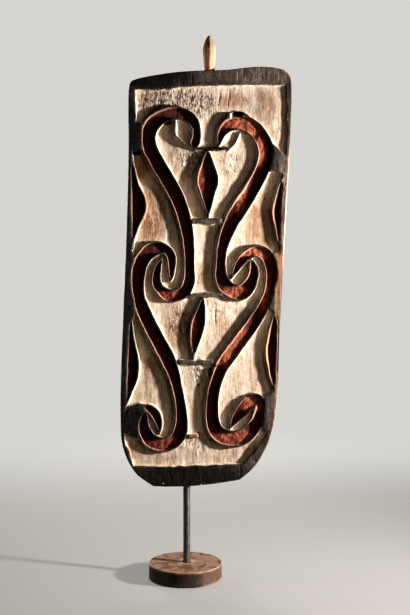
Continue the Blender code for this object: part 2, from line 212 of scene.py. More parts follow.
# The peg's height above its foot and its half width there.
PEG_PROFILE = (
    (-14, 10.5), (0, 10.5), (24, 12.6), (40, 14), (50, 13.7), (56, 12.4), (62, 10.5), (69, 7.9),
    (74, 5.4), (77, 3.4), (78, 0),
)
PEG_TURN = math.radians(6)
PEG_DEPTH_SHARE = 0.8
PEG_SIDES = 64
PEG_FACETS = 8
FACET_CRISPNESS = 30    # higher is nearer to sharp edges between the knife's facets
ROD_SIDES = 64
FIT_GAP = 0.3
DISC_SIDES = 200
DISC_ROUND = 1.2        # worn round edges
DISC_WEAR = 0.25        # how far the sawn face is worn down
DISC_SIDE_LEVELS = (0.8, 0.66, 0.52, 0.38, 0.24)
SOCKET_SIDES = 32
PITH = (-9, 12)         # the log's pith, from the disc's middle

# --- The room --------------------------------------------------------------------------------
ROOM_COLOUR = (0.5, 0.495, 0.48, 1.0)
FLOOR_GLOW = (0.2, 0.197, 0.19, 1.0)    # so that the floor stays pale past the lights
ROOM_STRENGTH = 0.015
FLOOR_RADIUS = 9
FLOOR_SIDES = 96
FLOOR_FADE = (0.5, 2.3)                 # from where to where it runs out into the room
CARD_BOX = (-4, 4, -0.1, -6)            # left, right, near and far side of the black card
CARD_Z = 0.003
CAMERA_PLACE = (0.0424, -1.841, 0.580)
LENS, SENSOR_WIDTH = 50, 36


# --- Curves ----------------------------------------------------------------------------------
def smooth_run(points, step):
    """A centripetal Catmull-Rom curve through the points, read about every step."""
    knots = [np.array(p, float) for p in points]
    if len(knots) == 2:
        return knots
    knots.insert(0, 2 * knots[0] - knots[1])
    knots.append(2 * knots[-1] - knots[-2])
    curve = []
    for a, b, c, d in zip(knots, knots[1:], knots[2:], knots[3:]):
        t1 = math.sqrt(np.linalg.norm(b - a))
        t2 = t1 + math.sqrt(np.linalg.norm(c - b))
        t3 = t2 + math.sqrt(np.linalg.norm(d - c))
        pieces = max(1, round(np.linalg.norm(c - b) / step))
        for i in range(pieces):
            t = t1 + (t2 - t1) * i / pieces
            ab = a + (b - a) * t / t1
            bc = b + (c - b) * (t - t1) / (t2 - t1)
            cd = c + (d - c) * (t - t2) / (t3 - t2)
            abc = ab + (bc - ab) * t / t2
            bcd = bc + (cd - bc) * (t - t1) / (t3 - t1)
            curve.append(abc + (bcd - abc) * (t - t1) / (t2 - t1))
    curve.append(knots[-2])
    return curve


def closed_outline(runs, step):
    """One loop from runs that meet at corners."""
    loop = []
    for run in runs:
        loop.extend(smooth_run(run, step)[:-1])
    return np.array(loop)


def evenly(path, step, closed):
    """The path again with its points the same distance apart."""
    path = np.asarray(path)
    if closed:
        path = np.vstack((path, path[:1]))
    along = np.concatenate(([0], np.cumsum(np.linalg.norm(np.diff(path, axis=0), axis=1))))
    pieces = max(3, round(along[-1] / step))
    stops = np.linspace(0, along[-1], pieces + 1)
    even = np.column_stack([np.interp(stops, along, path[:, k]) for k in range(path.shape[1])])
    return even[:-1] if closed else even


# --- Distances, positive on the side that is named -------------------------------------------
def inside_loop(points, loop):
    """Distance to a closed loop, positive inside it, and no more than FAR."""
    best = np.full(len(points), float(FAR) ** 2)
    odd = np.zeros(len(points), bool)
    ends = np.vstack((loop, loop[:1]))
    for first in range(0, len(loop), LOOP_BLOCK):
        block = ends[first:first + LOOP_BLOCK + 1]
        low, high = block.min(axis=0), block.max(axis=0)
        near = np.flatnonzero(((points > low - FAR) & (points < high + FAR)).all(axis=1))
        beside = np.flatnonzero((points[:, 1] >= low[1]) & (points[:, 1] <= high[1]))
        for a, b in zip(block, block[1:]):
            edge = b - a
            if not edge.any():
                continue
            x, z = points[near, 0] - a[0], points[near, 1] - a[1]
            t = np.clip((x * edge[0] + z * edge[1]) / (edge @ edge), 0, 1)
            best[near] = np.minimum(best[near], (x - t * edge[0]) ** 2 + (z - t * edge[1]) ** 2)
            if a[1] != b[1]:
                x, z = points[beside, 0], points[beside, 1]
                level = (a[1] > z) != (b[1] > z)
                odd[beside] ^= level & (x < edge[0] * (z - a[1]) / edge[1] + a[0])
    return np.where(odd, 1, -1) * np.sqrt(best)


def inside_stroke(points, stations, grow):
    """Distance into a stroke whose width is changed by grow, as a row of overlapping discs."""
    spine = np.array(smooth_run(stations, SPINE_STEP))
    radius = (spine[:, 2] + grow) / 2
    spine, radius = spine[radius > 0.3], radius[radius > 0.3]
    depth = np.full(len(points), -float(FAR))
    for first in range(0, len(spine), SPINE_BLOCK):
        part = spine[first:first + SPINE_BLOCK]
        reach = FAR + part[:, 2].max() / 2
        low, high = part[:, :2].min(axis=0) - reach, part[:, :2].max(axis=0) + reach
        near = np.flatnonzero(((points > low) & (points < high)).all(axis=1))
        for (x, z, _), r in zip(part, radius[first:first + SPINE_BLOCK]):
            gap = r - np.sqrt((points[near, 0] - x) ** 2 + (points[near, 1] - z) ** 2)
            depth[near] = np.maximum(depth[near], gap)
    return depth


def inside_box(points, left, right, low, high):
    past = np.column_stack((np.maximum(left - points[:, 0], points[:, 0] - right),
                            np.maximum(low - points[:, 1], points[:, 1] - high)))
    outside = np.linalg.norm(np.maximum(past, 0), axis=1)
    return -np.where(outside > 0, outside, past.max(axis=1))


def hand_cut(points, waver):
    """The points moved a little, so that the edges measured from them waver."""
    x, z = points[:, 0], points[:, 1]
    return points + waver * np.column_stack((Grain(31)(x, z, 7, 13), Grain(32)(x, z, 11, 7)))


def into_ground(points):
    """Distance from the nearest standing wood, positive out on the limewashed ground."""
    ragged = hand_cut(points, 0.8 + 2.2 * zone(points, RAGGED_EDGES)[:, None])
    points, loose = hand_cut(points, 0.5), hand_cut(points, 1.9)
    standing = -inside_loop(ragged, FIELD_LOOP)
    for stations in (*BANDS.values(), *CRESCENTS.values(), *LOZENGES.values()):
        standing = np.maximum(standing, inside_stroke(points, stations, CREST))
    for path in EYE_RIDGES.values():
        ridge = [(x, z, 0) for x, z in path]
        standing = np.maximum(standing, inside_stroke(points, ridge, CREST))
    for link in LINKS.values():
        standing = np.maximum(standing, inside_box(loose, *link))
    for bridge in BRIDGES.values():
        standing = np.maximum(standing, inside_loop(points, np.array(bridge, float)))
    return -standing


def into_strokes(points, strokes):
    """Distance into the nearest channel, positive inside it."""
    points = hand_cut(points, 0.7)
    depth = np.full(len(points), -float(FAR))
    for stations in strokes.values():
        depth = np.maximum(depth, inside_stroke(points, stations, -CREST))
    return depth


def into_board(points):
    return inside_loop(points, OUTLINE_LOOP)


# --- Smooth random heights -------------------------------------------------------------------
class Grain:
    """A smooth random surface between -1 and 1, the same each run."""

    def __init__(self, seed):
        self.table = np.random.default_rng(seed).uniform(-1, 1, (101, 103))

    def __call__(self, x, z, size_x, size_z):
        u, v = np.asarray(x) / size_x, np.asarray(z) / size_z
        i, j = np.floor(u).astype(int), np.floor(v).astype(int)
        s, t = ease(u - i), ease(v - j)
        rows, columns = self.table.shape

        def corner(a, b):
            return self.table[(i + a) % rows, (j + b) % columns]

        lower = corner(0, 0) * (1 - s) + corner(1, 0) * s
        upper = corner(0, 1) * (1 - s) + corner(1, 1) * s
        return lower * (1 - t) + upper * t


def ease(t):
    """0 up to 0, 1 from 1 on, and smooth between."""
    t = np.clip(t, 0, 1)
    return t * t * (3 - 2 * t)


def zone(points, zones):
    """How far each point is inside any of the soft ovals (x, z, half width, half height, amount)."""
    amount = np.zeros(len(points))
    for x, z, half_x, half_z, strength in zones:
        away = np.hypot((points[:, 0] - x) / half_x, (points[:, 1] - z) / half_z)
        amount = np.maximum(amount, strength * ease(1.5 - away))
    return amount


# --- Places with a story, (x, z, half width, half height, amount) ----------------------------
# Walls of a ridge that run further out onto the ground.
LONG_WALLS = ((-150, 842, 22, 22, 1.0), (-60, 760, 8, 34, 0.4), (42, 746, 14, 24, 2.4))
# Walls of a channel that face right and slope more gently; their pale lip colour runs further down
# them, a painted highlight on walls that face the key light.
GENTLE_WALLS = (
    (150, 596, 14, 74, 1.0), (134, 290, 14, 84, 1.0), (106, 160, 16, 28, 0.9), (72, 314, 30, 56, 0.25),
    (84, 612, 26, 50, 0.5), (92, 470, 14, 34, 0.5), (20, 250, 14, 40, 0.4),
)
# Shares by which the ground or a channel is less deep, or deeper, than elsewhere.
SHALLOW_GROUND = ((190, 800, 80, 90, 0.5), (44, 744, 12, 22, 0.4))
DEEP_GROUND = (
    (-84, 752, 24, 34, 0.4), (-136, 684, 20, 40, 0.66), (-42, 628, 30, 46, 0.6),
    (-140, 322, 18, 60, 0.55),
)
SHALLOW_CHANNEL = (
    (44, 278, 14, 24, 0.5), (118, 728, 16, 34, 0.35), (74, 314, 34, 60, 0.42), (80, 612, 24, 56, 0.3),
    (-90, 290, 22, 40, 0.15),
)
RAGGED_EDGES = ((-90, 850, 50, 12, 1.0), (-10, 856, 26, 8, 0.4), (-30, 46, 60, 8, 0.3))
# Chips, holes and drying checks have their depth as the last number.
CHIPS = (
    (87, 193, 3.5, 6, 4.5), (99, 204, 5, 5, 1.2),
    (22, 257, 9, 2.2, 4.5), (52, 89, 1.8, 6, 4.0), (31, 405, 5, 3, 1.6), (38, 404, 3, 3, 1.6),
    (-103, 848, 10, 4, 1.5), (-24, 848, 8, 3, 1.2), (104, 55, 7, 4, 1.0), (-2, 9, 6, 4, 1.0),
)
HOLES = ((9, 243, 4, 8, 9.0), (9, 250, 3, 5, 7.0))
CHECKS = (
    (-12, 836, 1.0, 22, 0.8), (28, 836, 1.2, 16, 1.1), (49, 834, 1.2, 20, 1.1),
    (20, 363, 1.1, 16, 1.1), (-76, 22, 1.0, 18, 1.1), (-9, 22, 1.0, 18, 1.1), (74, 30, 1.0, 14, 0.9),
    (-30, 872, 1.0, 14, 0.9), (96, 878, 1.0, 10, 0.8),
)
NOTCH = (50, 78, 786, 809, 8.5)         # left, right, low, high and depth of the break in a ridge
# Where the paint or the wood has changed, and where light or shade is painted into the colour.
BARE_WOOD = (
    (154, 460, 12, 66, 1.1), (156, 400, 12, 60, 0.9), (153, 290, 10, 100, 1.0), (146, 216, 8, 30, 0.7),
    (173, 786, 3, 60, 0.9), (165, 590, 7, 70, 0.6), (140, 600, 7, 64, 1.1), (128, 292, 7, 80, 1.1),
    (-66, 866, 22, 16, 0.35), (-104, 16, 12, 12, 0.5), (-28, 109, 10, 6, 1.2),
)
THIN_PAINT = (
    (-122, 832, 42, 26, 1.0), (-128, 790, 30, 22, 0.9), (-112, 58, 46, 14, 0.8), (84, 80, 36, 26, 0.6),
    (58, 330, 40, 46, 0.4), (-112, 590, 26, 60, 0.7), (118, 560, 34, 60, 0.35), (-40, 700, 18, 16, 0.7),
    (-122, 255, 18, 60, 0.35), (-40, 656, 22, 46, 0.7), (-96, 838, 60, 14, 0.3),
)
TANNED = (
    (-164, 64, 8, 34, 1.1), (-15, 109, 6, 8, 1.6), (-140, 690, 20, 36, 1.2), (-118, 586, 30, 60, 1.3),
    (118, 560, 40, 60, 0.9), (128, 818, 28, 34, 0.7), (58, 830, 34, 18, 0.85), (-104, 828, 26, 22, 0.8),
    (-96, 62, 60, 14, 0.5), (90, 70, 50, 22, 0.6), (60, 340, 44, 60, 0.6), (-64, 346, 32, 50, 0.9),
    (-6, 440, 20, 60, 0.4), (-52, 680, 20, 26, 0.6), (-70, 838, 80, 18, 0.3), (100, 240, 26, 60, 0.4),
    (-118, 240, 20, 50, 0.6),
)
ROUGH_GROUND = (
    (-74, 828, 70, 30, 1.0), (-14, 822, 40, 34, 0.9), (-34, 700, 34, 26, 0.8), (56, 690, 24, 22, 0.5),
    (-14, 244, 20, 28, 0.9), (-22, 90, 40, 20, 0.6), (10, 380, 30, 26, 0.5), (-116, 590, 20, 50, 0.45),
    (-56, 356, 28, 44, 0.7),
)
# Places where the red channels are painted as lit. This painted light gives lighter red with pink
# highlights and leaves off the painted shade. The channels are also a little shallower there.
LIT_RED = (
    (-94, 796, 38, 26, 0.25), (80, 772, 44, 26, 1.25), (118, 722, 14, 36, 1.2), (78, 610, 14, 50, 0.9),
    (-112, 506, 36, 16, 0.3), (104, 500, 38, 18, 1.0), (-78, 408, 34, 14, 0.7), (66, 414, 34, 16, 1.0),
    (126, 410, 12, 50, 0.8), (66, 310, 26, 36, 1.2), (42, 276, 18, 24, 1.2), (-84, 92, 40, 16, 0.75),
    (62, 106, 44, 18, 1.0), (98, 176, 26, 22, 1.0), (-14, 656, 14, 50, 0.65), (-27, 340, 8, 40, 0.8),
)
FRESH = ((53.5, 796, 2.6, 8, 0.7), (-91, 8, 2.5, 2.5, 1.0), (-10, 4, 2.5, 2, 0.9), (104, 60, 3, 3, 0.5))
# Painted shade, partly black dirt too: darkening laid over holes, a crack, recesses, shadowed corners
# and parts of the rim, where shade falls.
SOOT_AND_SHADE = (
    (71, 799, 9, 7, 1.1), (9, 251, 3.6, 3, 1.1), (9, 240, 3.8, 4, 1.1), (19, 259, 7, 1.8, 1.2),
    (-85, 782, 15, 6, 1.0), (14, 724, 34, 6, 0.8), (-166, 760, 26, 56, 0.8), (-30, 18, 140, 34, 0.45),
    (-192, 450, 40, 560, 0.6), (-152, 718, 16, 8, 0.9), (-150, 106, 16, 12, 0.5),
    (-110, 878, 84, 26, 0.6), (-148, 140, 26, 34, 0.55), (31, 404, 9, 5, 0.6), (84, 759, 7, 5, 0.7),
    (-26, 697, 10, 6, 0.5),
)
RUBBED = (
    (-20, 266, 44, 7, 0.4), (0, 410, 40, 8, 0.5), (0, 568, 40, 8, 0.4), (-20, 880, 60, 16, 0.4),
    (110, 882, 90, 22, 0.65), (-60, 868, 12, 12, 0.7), (168, 640, 12, 150, 1.0), (196, 830, 8, 60, 1.0),
    (150, 150, 20, 60, 0.5), (112, 60, 30, 30, 0.4),
)
# The mesh keeps each of these lists under a name that the finish reads.
STORED_PLACES = {
    "bare": BARE_WOOD, "thin_paint": THIN_PAINT, "soot_and_shade": SOOT_AND_SHADE, "rubbed": RUBBED, "tanned": TANNED,
    "chopped": ROUGH_GROUND, "lit_red": LIT_RED, "fresh": FRESH,
}


# --- Rows of points along the carving --------------------------------------------------------
# Which sides of a cell a contour joins, for each case of its four corners.
# The sides are 0 lower, 1 right, 2 upper and 3 left.
CELL_PATHS = {
    1: ((3, 0),), 2: ((0, 1),), 3: ((3, 1),), 4: ((1, 2),), 5: ((3, 2), (0, 1)), 6: ((0, 2),),
    7: ((3, 2),), 8: ((3, 2),), 9: ((0, 2),), 10: ((3, 0), (1, 2)), 11: ((1, 2),), 12: ((3, 1),),
    13: ((0, 1),), 14: ((3, 0),),
}


def contours(grid, values, level):
    """The paths along which a gridded distance crosses a level, each (points, closed)."""
    xs, zs = grid
    above = values > level
    cases = (above[:-1, :-1] + 2 * above[1:, :-1] + 4 * above[1:, 1:] + 8 * above[:-1, 1:])
    joined = {}
    for i, j in np.argwhere((cases > 0) & (cases < 15)).tolist():
        sides = ((i, j, 0), (i + 1, j, 1), (i, j + 1, 0), (i, j, 1))
        for one, other in CELL_PATHS[int(cases[i, j])]:
            joined.setdefault(sides[one], []).append(sides[other])
            joined.setdefault(sides[other], []).append(sides[one])

    def place(side):
        i, j, upright = side
        k, m = (i, j + 1) if upright else (i + 1, j)
        t = (level - values[i, j]) / (values[k, m] - values[i, j])
        return xs[i] + (xs[k] - xs[i]) * t, zs[j] + (zs[m] - zs[j]) * t

    paths = []
    starts = [side for side, others in joined.items() if len(others) == 1] + list(joined)
    seen = set()
    for start in starts:
        if start in seen:
            continue
        path, side = [], start
        while side is not None:
            seen.add(side)
            path.append(place(side))
            side = next((other for other in joined[side] if other not in seen), None)
        closed = len(joined[start]) == 2
        if len(path) > 5:
            paths.append((np.array(path), closed))
    return paths


def traced(distance, levels):
    """The paths that keep the given distances, each (points, closed)."""
    low, high = OUTLINE_LOOP.min(axis=0) - 6, OUTLINE_LOOP.max(axis=0) + 6
    xs, zs = (np.arange(a, b, FIELD_CELL) for a, b in zip(low, high))
    places = np.stack(np.meshgrid(xs, zs, indexing="ij"), axis=-1).reshape(-1, 2)
    values = distance(places).reshape(len(xs), len(zs))
    return [path for level in levels for path in contours((xs, zs), values, level)]


def spaced(paths, step):
    return [(evenly(path, step, closed), closed) for path, closed in paths]


def hex_fill(step, seed):
    """Points spread evenly over the board's box, each a little off its place."""
    low, high = OUTLINE_LOOP.min(axis=0), OUTLINE_LOOP.max(axis=0)
    lines = np.arange(low[1], high[1], step * math.sqrt(3) / 2)
    points = [(x + step / 2 * (k % 2), z) for k, z in enumerate(lines)
              for x in np.arange(low[0], high[0], step)]
    shake = np.random.default_rng(seed).uniform(-0.22, 0.22, (len(points), 2)) * step
    return np.array(points) + shake


def triangulated(rows, loose, holes=0):
    """A flat sheet inside the first row, without the holes that the next rows go round.

    Returns its points, its triangles and, for each of those rows, the numbers of its points.
    """
    coords, edges, starts = [], [], []
    for points, closed in rows:
        starts.append(len(coords))
        first, count = len(coords), len(points)
        coords.extend(points.tolist())
        edges.extend((first + k, first + k + 1) for k in range(count - 1))
        if closed:
            edges.append((first + count - 1, first))
    coords.extend(loose.tolist())
    found, _, faces, origins, _, _ = delaunay_2d_cdt(
        [Vector(c) for c in coords], edges, [], 0, 0.02, True)
    points = np.array([tuple(v) for v in found])
    number = {source: index for index, sources in enumerate(origins) for source in sources}
    kept_rows = [[number[first + k] for k in range(len(row))]
                 for first, (row, _) in zip(starts[:holes + 1], rows)]
    faces = np.array(faces)
    middles = points[faces].mean(axis=1)
    kept = inside_loop(middles, rows[0][0]) > 0
    for hole, _ in rows[1:holes + 1]:
        kept &= inside_loop(middles, hole) < 0
    return points, faces[kept], [np.array(row) for row in kept_rows]


# --- The board -------------------------------------------------------------------------------
FIELD_LOOP = closed_outline(FIELD, 12)
OUTLINE_LOOP = evenly(closed_outline(OUTLINE, 8), ROW_STEP, True)

board_low, board_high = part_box("shield_board")
EDGE_PATHS = traced(into_board, EDGE_ROWS)
ORIGIN_X, ORIGIN_Z = (
    (board_low[k] + board_high[k]) / 2 / MM - (OUTLINE_LOOP[:, j].min() + OUTLINE_LOOP[:, j].max()) / 2
    for k, j in ((0, 0), (2, 1))
)
FRONT_Y = board_low[1] / MM


def in_place(points, depth):
    """Board points (x, z) at a depth behind the carved face, as places in the frame."""
    return np.column_stack((points[:, 0] + ORIGIN_X, FRONT_Y + depth, points[:, 1] + ORIGIN_Z)) * MM


def rounding(edge, radius):
    """How far a round edge of this radius falls away, by the distance from the edge."""
    reach = np.clip(edge / radius, 0, 1)
    return radius * (1 - np.sqrt(1 - (1 - reach) ** 2))


def cut_depth(points, cuts):
    """Small cuts and cracks (x, z, half width, half height, depth), with soft sides."""
    depth = np.zeros(len(points))
    for x, z, half_x, half_z, deep in cuts:
        away = np.hypot((points[:, 0] - x) / half_x, (points[:, 1] - z) / half_z)
        depth += deep * ease(1.35 - away)
    return depth


def notch_depth(points):
    """A break through a ridge: a slanting side that faces the light and a steep one that doesn't."""
    left, right, low, high, deep = NOTCH
    x, z = points[:, 0] + 1.2 * Grain(33)(points[:, 1], points[:, 0], 4, 9), points[:, 1]
    across = np.minimum(ease((x - left) / 8), ease((right - x) / 1.5))
    return deep * np.minimum(across, np.minimum(ease((z - low) / 3), ease((high - z) / 3)))


def lit_walls(points, channel, strokes):
    """Above 0 on a channel's walls that face right, in the places with gentle walls."""
    step = np.array((1.0, 0.0))
    right = into_strokes(points + step, strokes) - channel
    return zone(points, GENTLE_WALLS) * ease(right)


def layered(x, z, layers):
    """Layers of random marks, (seed, size across, size along, height), added up."""
    return sum(Grain(seed)(x, z, across, along) * height for seed, across, along, height in layers)


def ground_depth(points, ground):
    """The limewashed ground, with its walls running up to the ridges."""
    wall = (WALL_FOOT - WALL_TOP) * (1 + LONG_WALL_REACH * zone(points, LONG_WALLS))
    fall = np.clip((ground - WALL_TOP) / wall, 0, 1)
    deep = GROUND_DEPTH * (1 - (1 - fall) ** WALL_HOLLOW)
    return deep * (1 - zone(points, SHALLOW_GROUND) + zone(points, DEEP_GROUND))


def trough_depth(points, channel, gentle):
    """The red channels, with the facets that the chisel leaves on their floors."""
    x, z = points[:, 0], points[:, 1]
    wall = (CHANNEL_FOOT - CHANNEL_TOP) * (1 + GENTLE_WALL_REACH * gentle)
    drop = np.clip((channel - CHANNEL_TOP) / wall, 0, 1)
    shallow = np.maximum(LIT_RED_SHALLOW * zone(points, LIT_RED), zone(points, SHALLOW_CHANNEL))
    trough = CHANNEL_DEPTH * (1 - shallow) * (1 - (1 - drop) ** CHANNEL_HOLLOW)
    chisel = Grain(14)(x, z, 8, 12) * 0.7 + Grain(16)(x + z, z - x, 15, 9) * 0.6
    chisel = chisel + Grain(34)(x, z, 5, 6) * 0.25
    return trough + chisel * ease((channel - 1) / 3)


def carved_depth(points, ground, channel, edge, gentle):
    """Depth of the whole front behind the board's face, with its tool marks, wear and damage."""
    x, z = points[:, 0], points[:, 1]
    marks = layered(x, z, GROUND_MARKS)
    marks = marks + zone(points, ROUGH_GROUND) * layered(x, z, CHOPPED_MARKS)
    wear = WEAR + Grain(6)(x, z, 16, 22) * 0.35 + Grain(7)(x, z, 4, 9) * 0.3
    cut = np.maximum(ground_depth(points, ground), trough_depth(points, channel, gentle))
    cut = np.maximum(cut, notch_depth(points))
    share = np.clip(cut / CUT_TO_MARK, 0, 1)
    depth = cut + share * marks + (1 - share) * np.clip(wear, 0, None)
    depth = depth + (1 - share) * cut_depth(points, CHIPS) + cut_depth(points, HOLES)
    wandering = points + 1.6 * Grain(8)(z, x, 9, 40)[:, None] * (1, 0)
    return depth + cut_depth(wandering, CHECKS) + rounding(edge, EDGE_ROUND)


def adzed_depth(points, edge):
    """The plain back, dressed flat with an adze."""
    x, z = points[:, 0], points[:, 1]
    scallops = np.abs(Grain(11)(x + 0.2 * z, z, 26, 34)) * 1.5 + np.abs(Grain(12)(x, z, 13, 60)) * 0.5
    return BOARD_THICKNESS - scallops * ease(edge / 12) - rounding(edge, EDGE_ROUND)


def store(mesh, name, values):
    """Keep a number at each point of the mesh, for the finish to read."""
    kept = mesh.attributes.new(name, "FLOAT", "POINT")
    kept.data.foreach_set("value", np.asarray(values, np.float32))


def grip_section(turn, grow):
    """One slice through the arched grip: from its opening to its outside, as (x, y, z)."""
    c, s = math.cos(turn), max(math.sin(turn), 0)
    squared = math.copysign(abs(c) ** GRIP_SQUARENESS, c), s ** GRIP_SQUARENESS
    outer = np.array((GRIP_RISE * squared[1], -GRIP_HALF_LENGTH * squared[0]))
    inner = np.array((GAP_RISE * squared[1], -GAP_HALF_LENGTH * squared[0]))
    middle, half = (outer + inner) / 2, (outer - inner) / 2
    angles = np.arange(GRIP_SIDES) * math.tau / GRIP_SIDES
    across = np.sign(np.cos(angles)) * np.abs(np.cos(angles)) ** 0.72
    out = np.sign(np.sin(angles)) * np.abs(np.sin(angles)) ** 0.72
    x = GRIP_WIDTH / 2 * (across + grow * np.cos(angles))
    y = middle[0] + half[0] * out
    z = middle[1] + half[1] * (out + grow * 0.7 * np.sin(angles))
    return np.column_stack((x, y, z))


def grip_rings():
    rings = []
    for k in range(GRIP_STEPS + 1):
        t = k / GRIP_STEPS
        flare = 0.34 * (math.exp(-14 * t) + math.exp(-14 * (1 - t)))
        ring = grip_section(math.pi * t, flare)
        worn = Grain(15)(ring[:, 2] + ring[:, 1], ring[:, 0] * 3 + ring[:, 1], 17, 9) * 0.5
        ring[:, 0] += worn * math.sin(math.pi * t)
        ring[:, 1] -= np.abs(worn) * math.sin(math.pi * t)
        rings.append(ring)
    return rings


def bridged(near, far):
    """Two triangles for each side of two matching rings."""
    near_next, far_next = np.roll(near, -1), np.roll(far, -1)
    lower = np.column_stack((near, far, near_next))
    return np.vstack((lower, np.column_stack((near_next, far, far_next))))


class Skin:
    """Points and triangles of one mesh, gathered sheet by sheet and ring by ring."""

    def __init__(self):
        self.verts, self.faces, self.count = [], [], 0

    def add(self, points, faces=None):
        """The numbers that new points get. Their triangles count from the first of them."""
        numbers = np.arange(self.count, self.count + len(points))
        self.verts.append(points)
        self.count += len(points)
        if faces is not None:
            self.faces.append(numbers[faces])
        return numbers

    def tube(self, last, rings, end=None):
        """New rings joined one after another to the last one, and on to the end if there is one."""
        for ring in rings:
            numbers = self.add(ring)
            self.faces.append(bridged(last, numbers))
            last = numbers
        if end is not None:
            self.faces.append(bridged(last, end))
        return last

    def piece(self, name, scale, material):
        """The finished piece, with its faces turned outwards."""
        mesh = bpy.data.meshes.new(name)
        mesh.from_pydata((np.vstack(self.verts) * scale).tolist(), [], np.vstack(self.faces).tolist())
        mesh.materials.append(material)
        mesh.shade_smooth()
        bm = bmesh.new()
        bm.from_mesh(mesh)
        bmesh.ops.recalc_face_normals(bm, faces=bm.faces)
        bm.to_mesh(mesh)
        bm.free()
        piece = bpy.data.objects.new(name, mesh)
        bpy.context.scene.collection.objects.link(piece)
        return piece


def carved_front():
    """The carved face as a flat sheet of triangles, with its depths and what the finish reads."""
    strokes = BANDS | CRESCENTS | LOZENGES
    loose = hex_fill(FILL_STEP, 21)
    ground, channel, edge = into_ground(loose), into_strokes(loose, strokes), into_board(loose)
    open_places = edge > EDGE_ROWS[-1] + 2
    open_places &= (ground > GROUND_ROWS[-1] + 2) | (ground < -3)
    open_places &= (channel < -3) | (channel > CHANNEL_ROWS[-1] + 2)
    detail = [fine_patch(*spot) for spot in (*CHIPS, *HOLES)] + [crack_rows(*spot) for spot in CHECKS]
    left, right, low, high, _ = NOTCH
    broken = np.meshgrid(np.arange(left - 2, right + 3, 1.3), np.arange(low - 2, high + 2, 1.6))
    detail.append(np.stack(broken, axis=-1).reshape(-1, 2))
    loose = np.vstack([loose[open_places]] + detail)
    loose = loose[into_board(loose) > 1]
    paths = traced(into_ground, GROUND_ROWS) + EDGE_PATHS
    for group in (BANDS, CRESCENTS | LOZENGES):
        paths += traced(lambda places: into_strokes(places, group), CHANNEL_ROWS)
    points, faces, (rim,) = triangulated([(OUTLINE_LOOP, True)] + spaced(paths, ROW_STEP), loose)
    ground, edge = into_ground(points), np.clip(into_board(points), 0, None)
    channel = into_strokes(points, strokes)
    gentle = lit_walls(points, channel, strokes)
    marks = {"into_ground": ground, "into_channel": channel, "into_board": edge, "gentle_wall": gentle}
    return points, faces, rim, carved_depth(points, ground, channel, edge, gentle), marks


def fine_patch(x, z, half_x, half_z, _):
    """Closer points where a small chip or hole has to show."""
    rows = [(x + half_x * 1.4 * r * math.cos(a), z + half_z * 1.4 * r * math.sin(a))
            for r in (0.25, 0.5, 0.75, 1.0) for a in np.arange(0, math.tau, 0.5)]
    return np.array(rows)


def crack_rows(x, z, half_x, half_z, _):
    """Closer points down a drying check and just beside it."""
    levels = np.arange(z - half_z * 1.3, z + half_z * 1.3, 2.4)
    across = [x + shift * half_x for shift in (-1.4, -0.7, 0, 0.7, 1.4)]
    return np.array([(place, level) for level in levels for place in across])


def carved_board(material):
    """Front, back, edge and grip of the board as one closed mesh."""
    skin = Skin()
    points, faces, rim, depth, marks = carved_front()
    front = skin.add(in_place(points, depth), faces)

    rings = grip_rings()
    feet = [rings[0][:, (0, 2)] + (0, GRIP_Z), rings[-1][:, (0, 2)] + (0, GRIP_Z)]
    fill = hex_fill(BACK_STEP, 22)
    fill = fill[(into_board(fill) > EDGE_ROWS[-1] + 3)]
    for foot in feet:
        fill = fill[inside_loop(fill, foot) < -3]
    rows = [(OUTLINE_LOOP, True)] + [(foot, True) for foot in feet]
    rows += spaced(EDGE_PATHS, BACK_ROW_STEP)
    back_points, back_faces, (back_rim, *foot_rims) = triangulated(rows, fill, holes=2)
    back_edge = np.clip(into_board(back_points), 0, None)
    back_depth = adzed_depth(back_points, back_edge)
    back = skin.add(in_place(back_points, back_depth), back_faces[:, ::-1])

    near_depth, far_depth = depth[rim], back_depth[back_rim]
    outward = OUTLINE_LOOP - OUTLINE_LOOP.mean(axis=0)
    outward /= np.linalg.norm(outward, axis=1)[:, None]
    sides = []
    for level in SIDE_LEVELS:
        at = near_depth + (far_depth - near_depth) * level
        tool = np.abs(Grain(13)(OUTLINE_LOOP[:, 0] + OUTLINE_LOOP[:, 1], at, 26, 8))
        ring = OUTLINE_LOOP - outward * (0.6 * tool * math.sin(math.pi * level))[:, None]
        sides.append(in_place(ring, at))
    skin.tube(front[rim], sides, back[back_rim])
    grip = [in_place(ring[:, (0, 2)] + (0, GRIP_Z), BOARD_THICKNESS + ring[:, 1]) for ring in rings]
    skin.tube(back[foot_rims[0]], grip[1:-1], back[foot_rims[1]])

    piece = skin.piece("carved_board", 1, material)
    rest = skin.count - len(front)
    for name, values in marks.items():
        store(piece.data, name, np.concatenate((values, np.full(rest, -float(FAR)))))
    store(piece.data, "carved_face", np.concatenate((np.ones(len(front)), np.zeros(rest))))
    for name, zones in STORED_PLACES.items():
        store(piece.data, name, np.concatenate((zone(points, zones), np.zeros(rest))))
    return piece


# --- Shader maths ----------------------------------------------------------------------------
class Signal:
    """A socket's number. Arithmetic on it adds Math nodes."""

    def __init__(self, finish, socket):
        self.finish, self.socket = finish, socket

    def math(self, operation, *values):
        return self.finish.node("Math", {"operation": operation}, dict(enumerate(values)))

    def __add__(self, other):
        return self.math("ADD", self, other)

    def __sub__(self, other):
        return self.math("SUBTRACT", self, other)

    def __rsub__(self, other):
        return self.math("SUBTRACT", other, self)

    def __mul__(self, other):
        return self.math("MULTIPLY", self, other)

    __radd__, __rmul__ = __add__, __mul__

    def most(self, other):
        return self.math("MAXIMUM", self, other)

    def rise(self, low, high):
        """0 below low, 1 above high, and smooth between."""
        settings = {"interpolation_type": "SMOOTHSTEP"}
        sockets = {"Value": self, "From Min": low, "From Max": high}
        return self.finish.node("MapRange", settings, sockets)

    def fall(self, low, high):
        return 1 - self.rise(low, high)


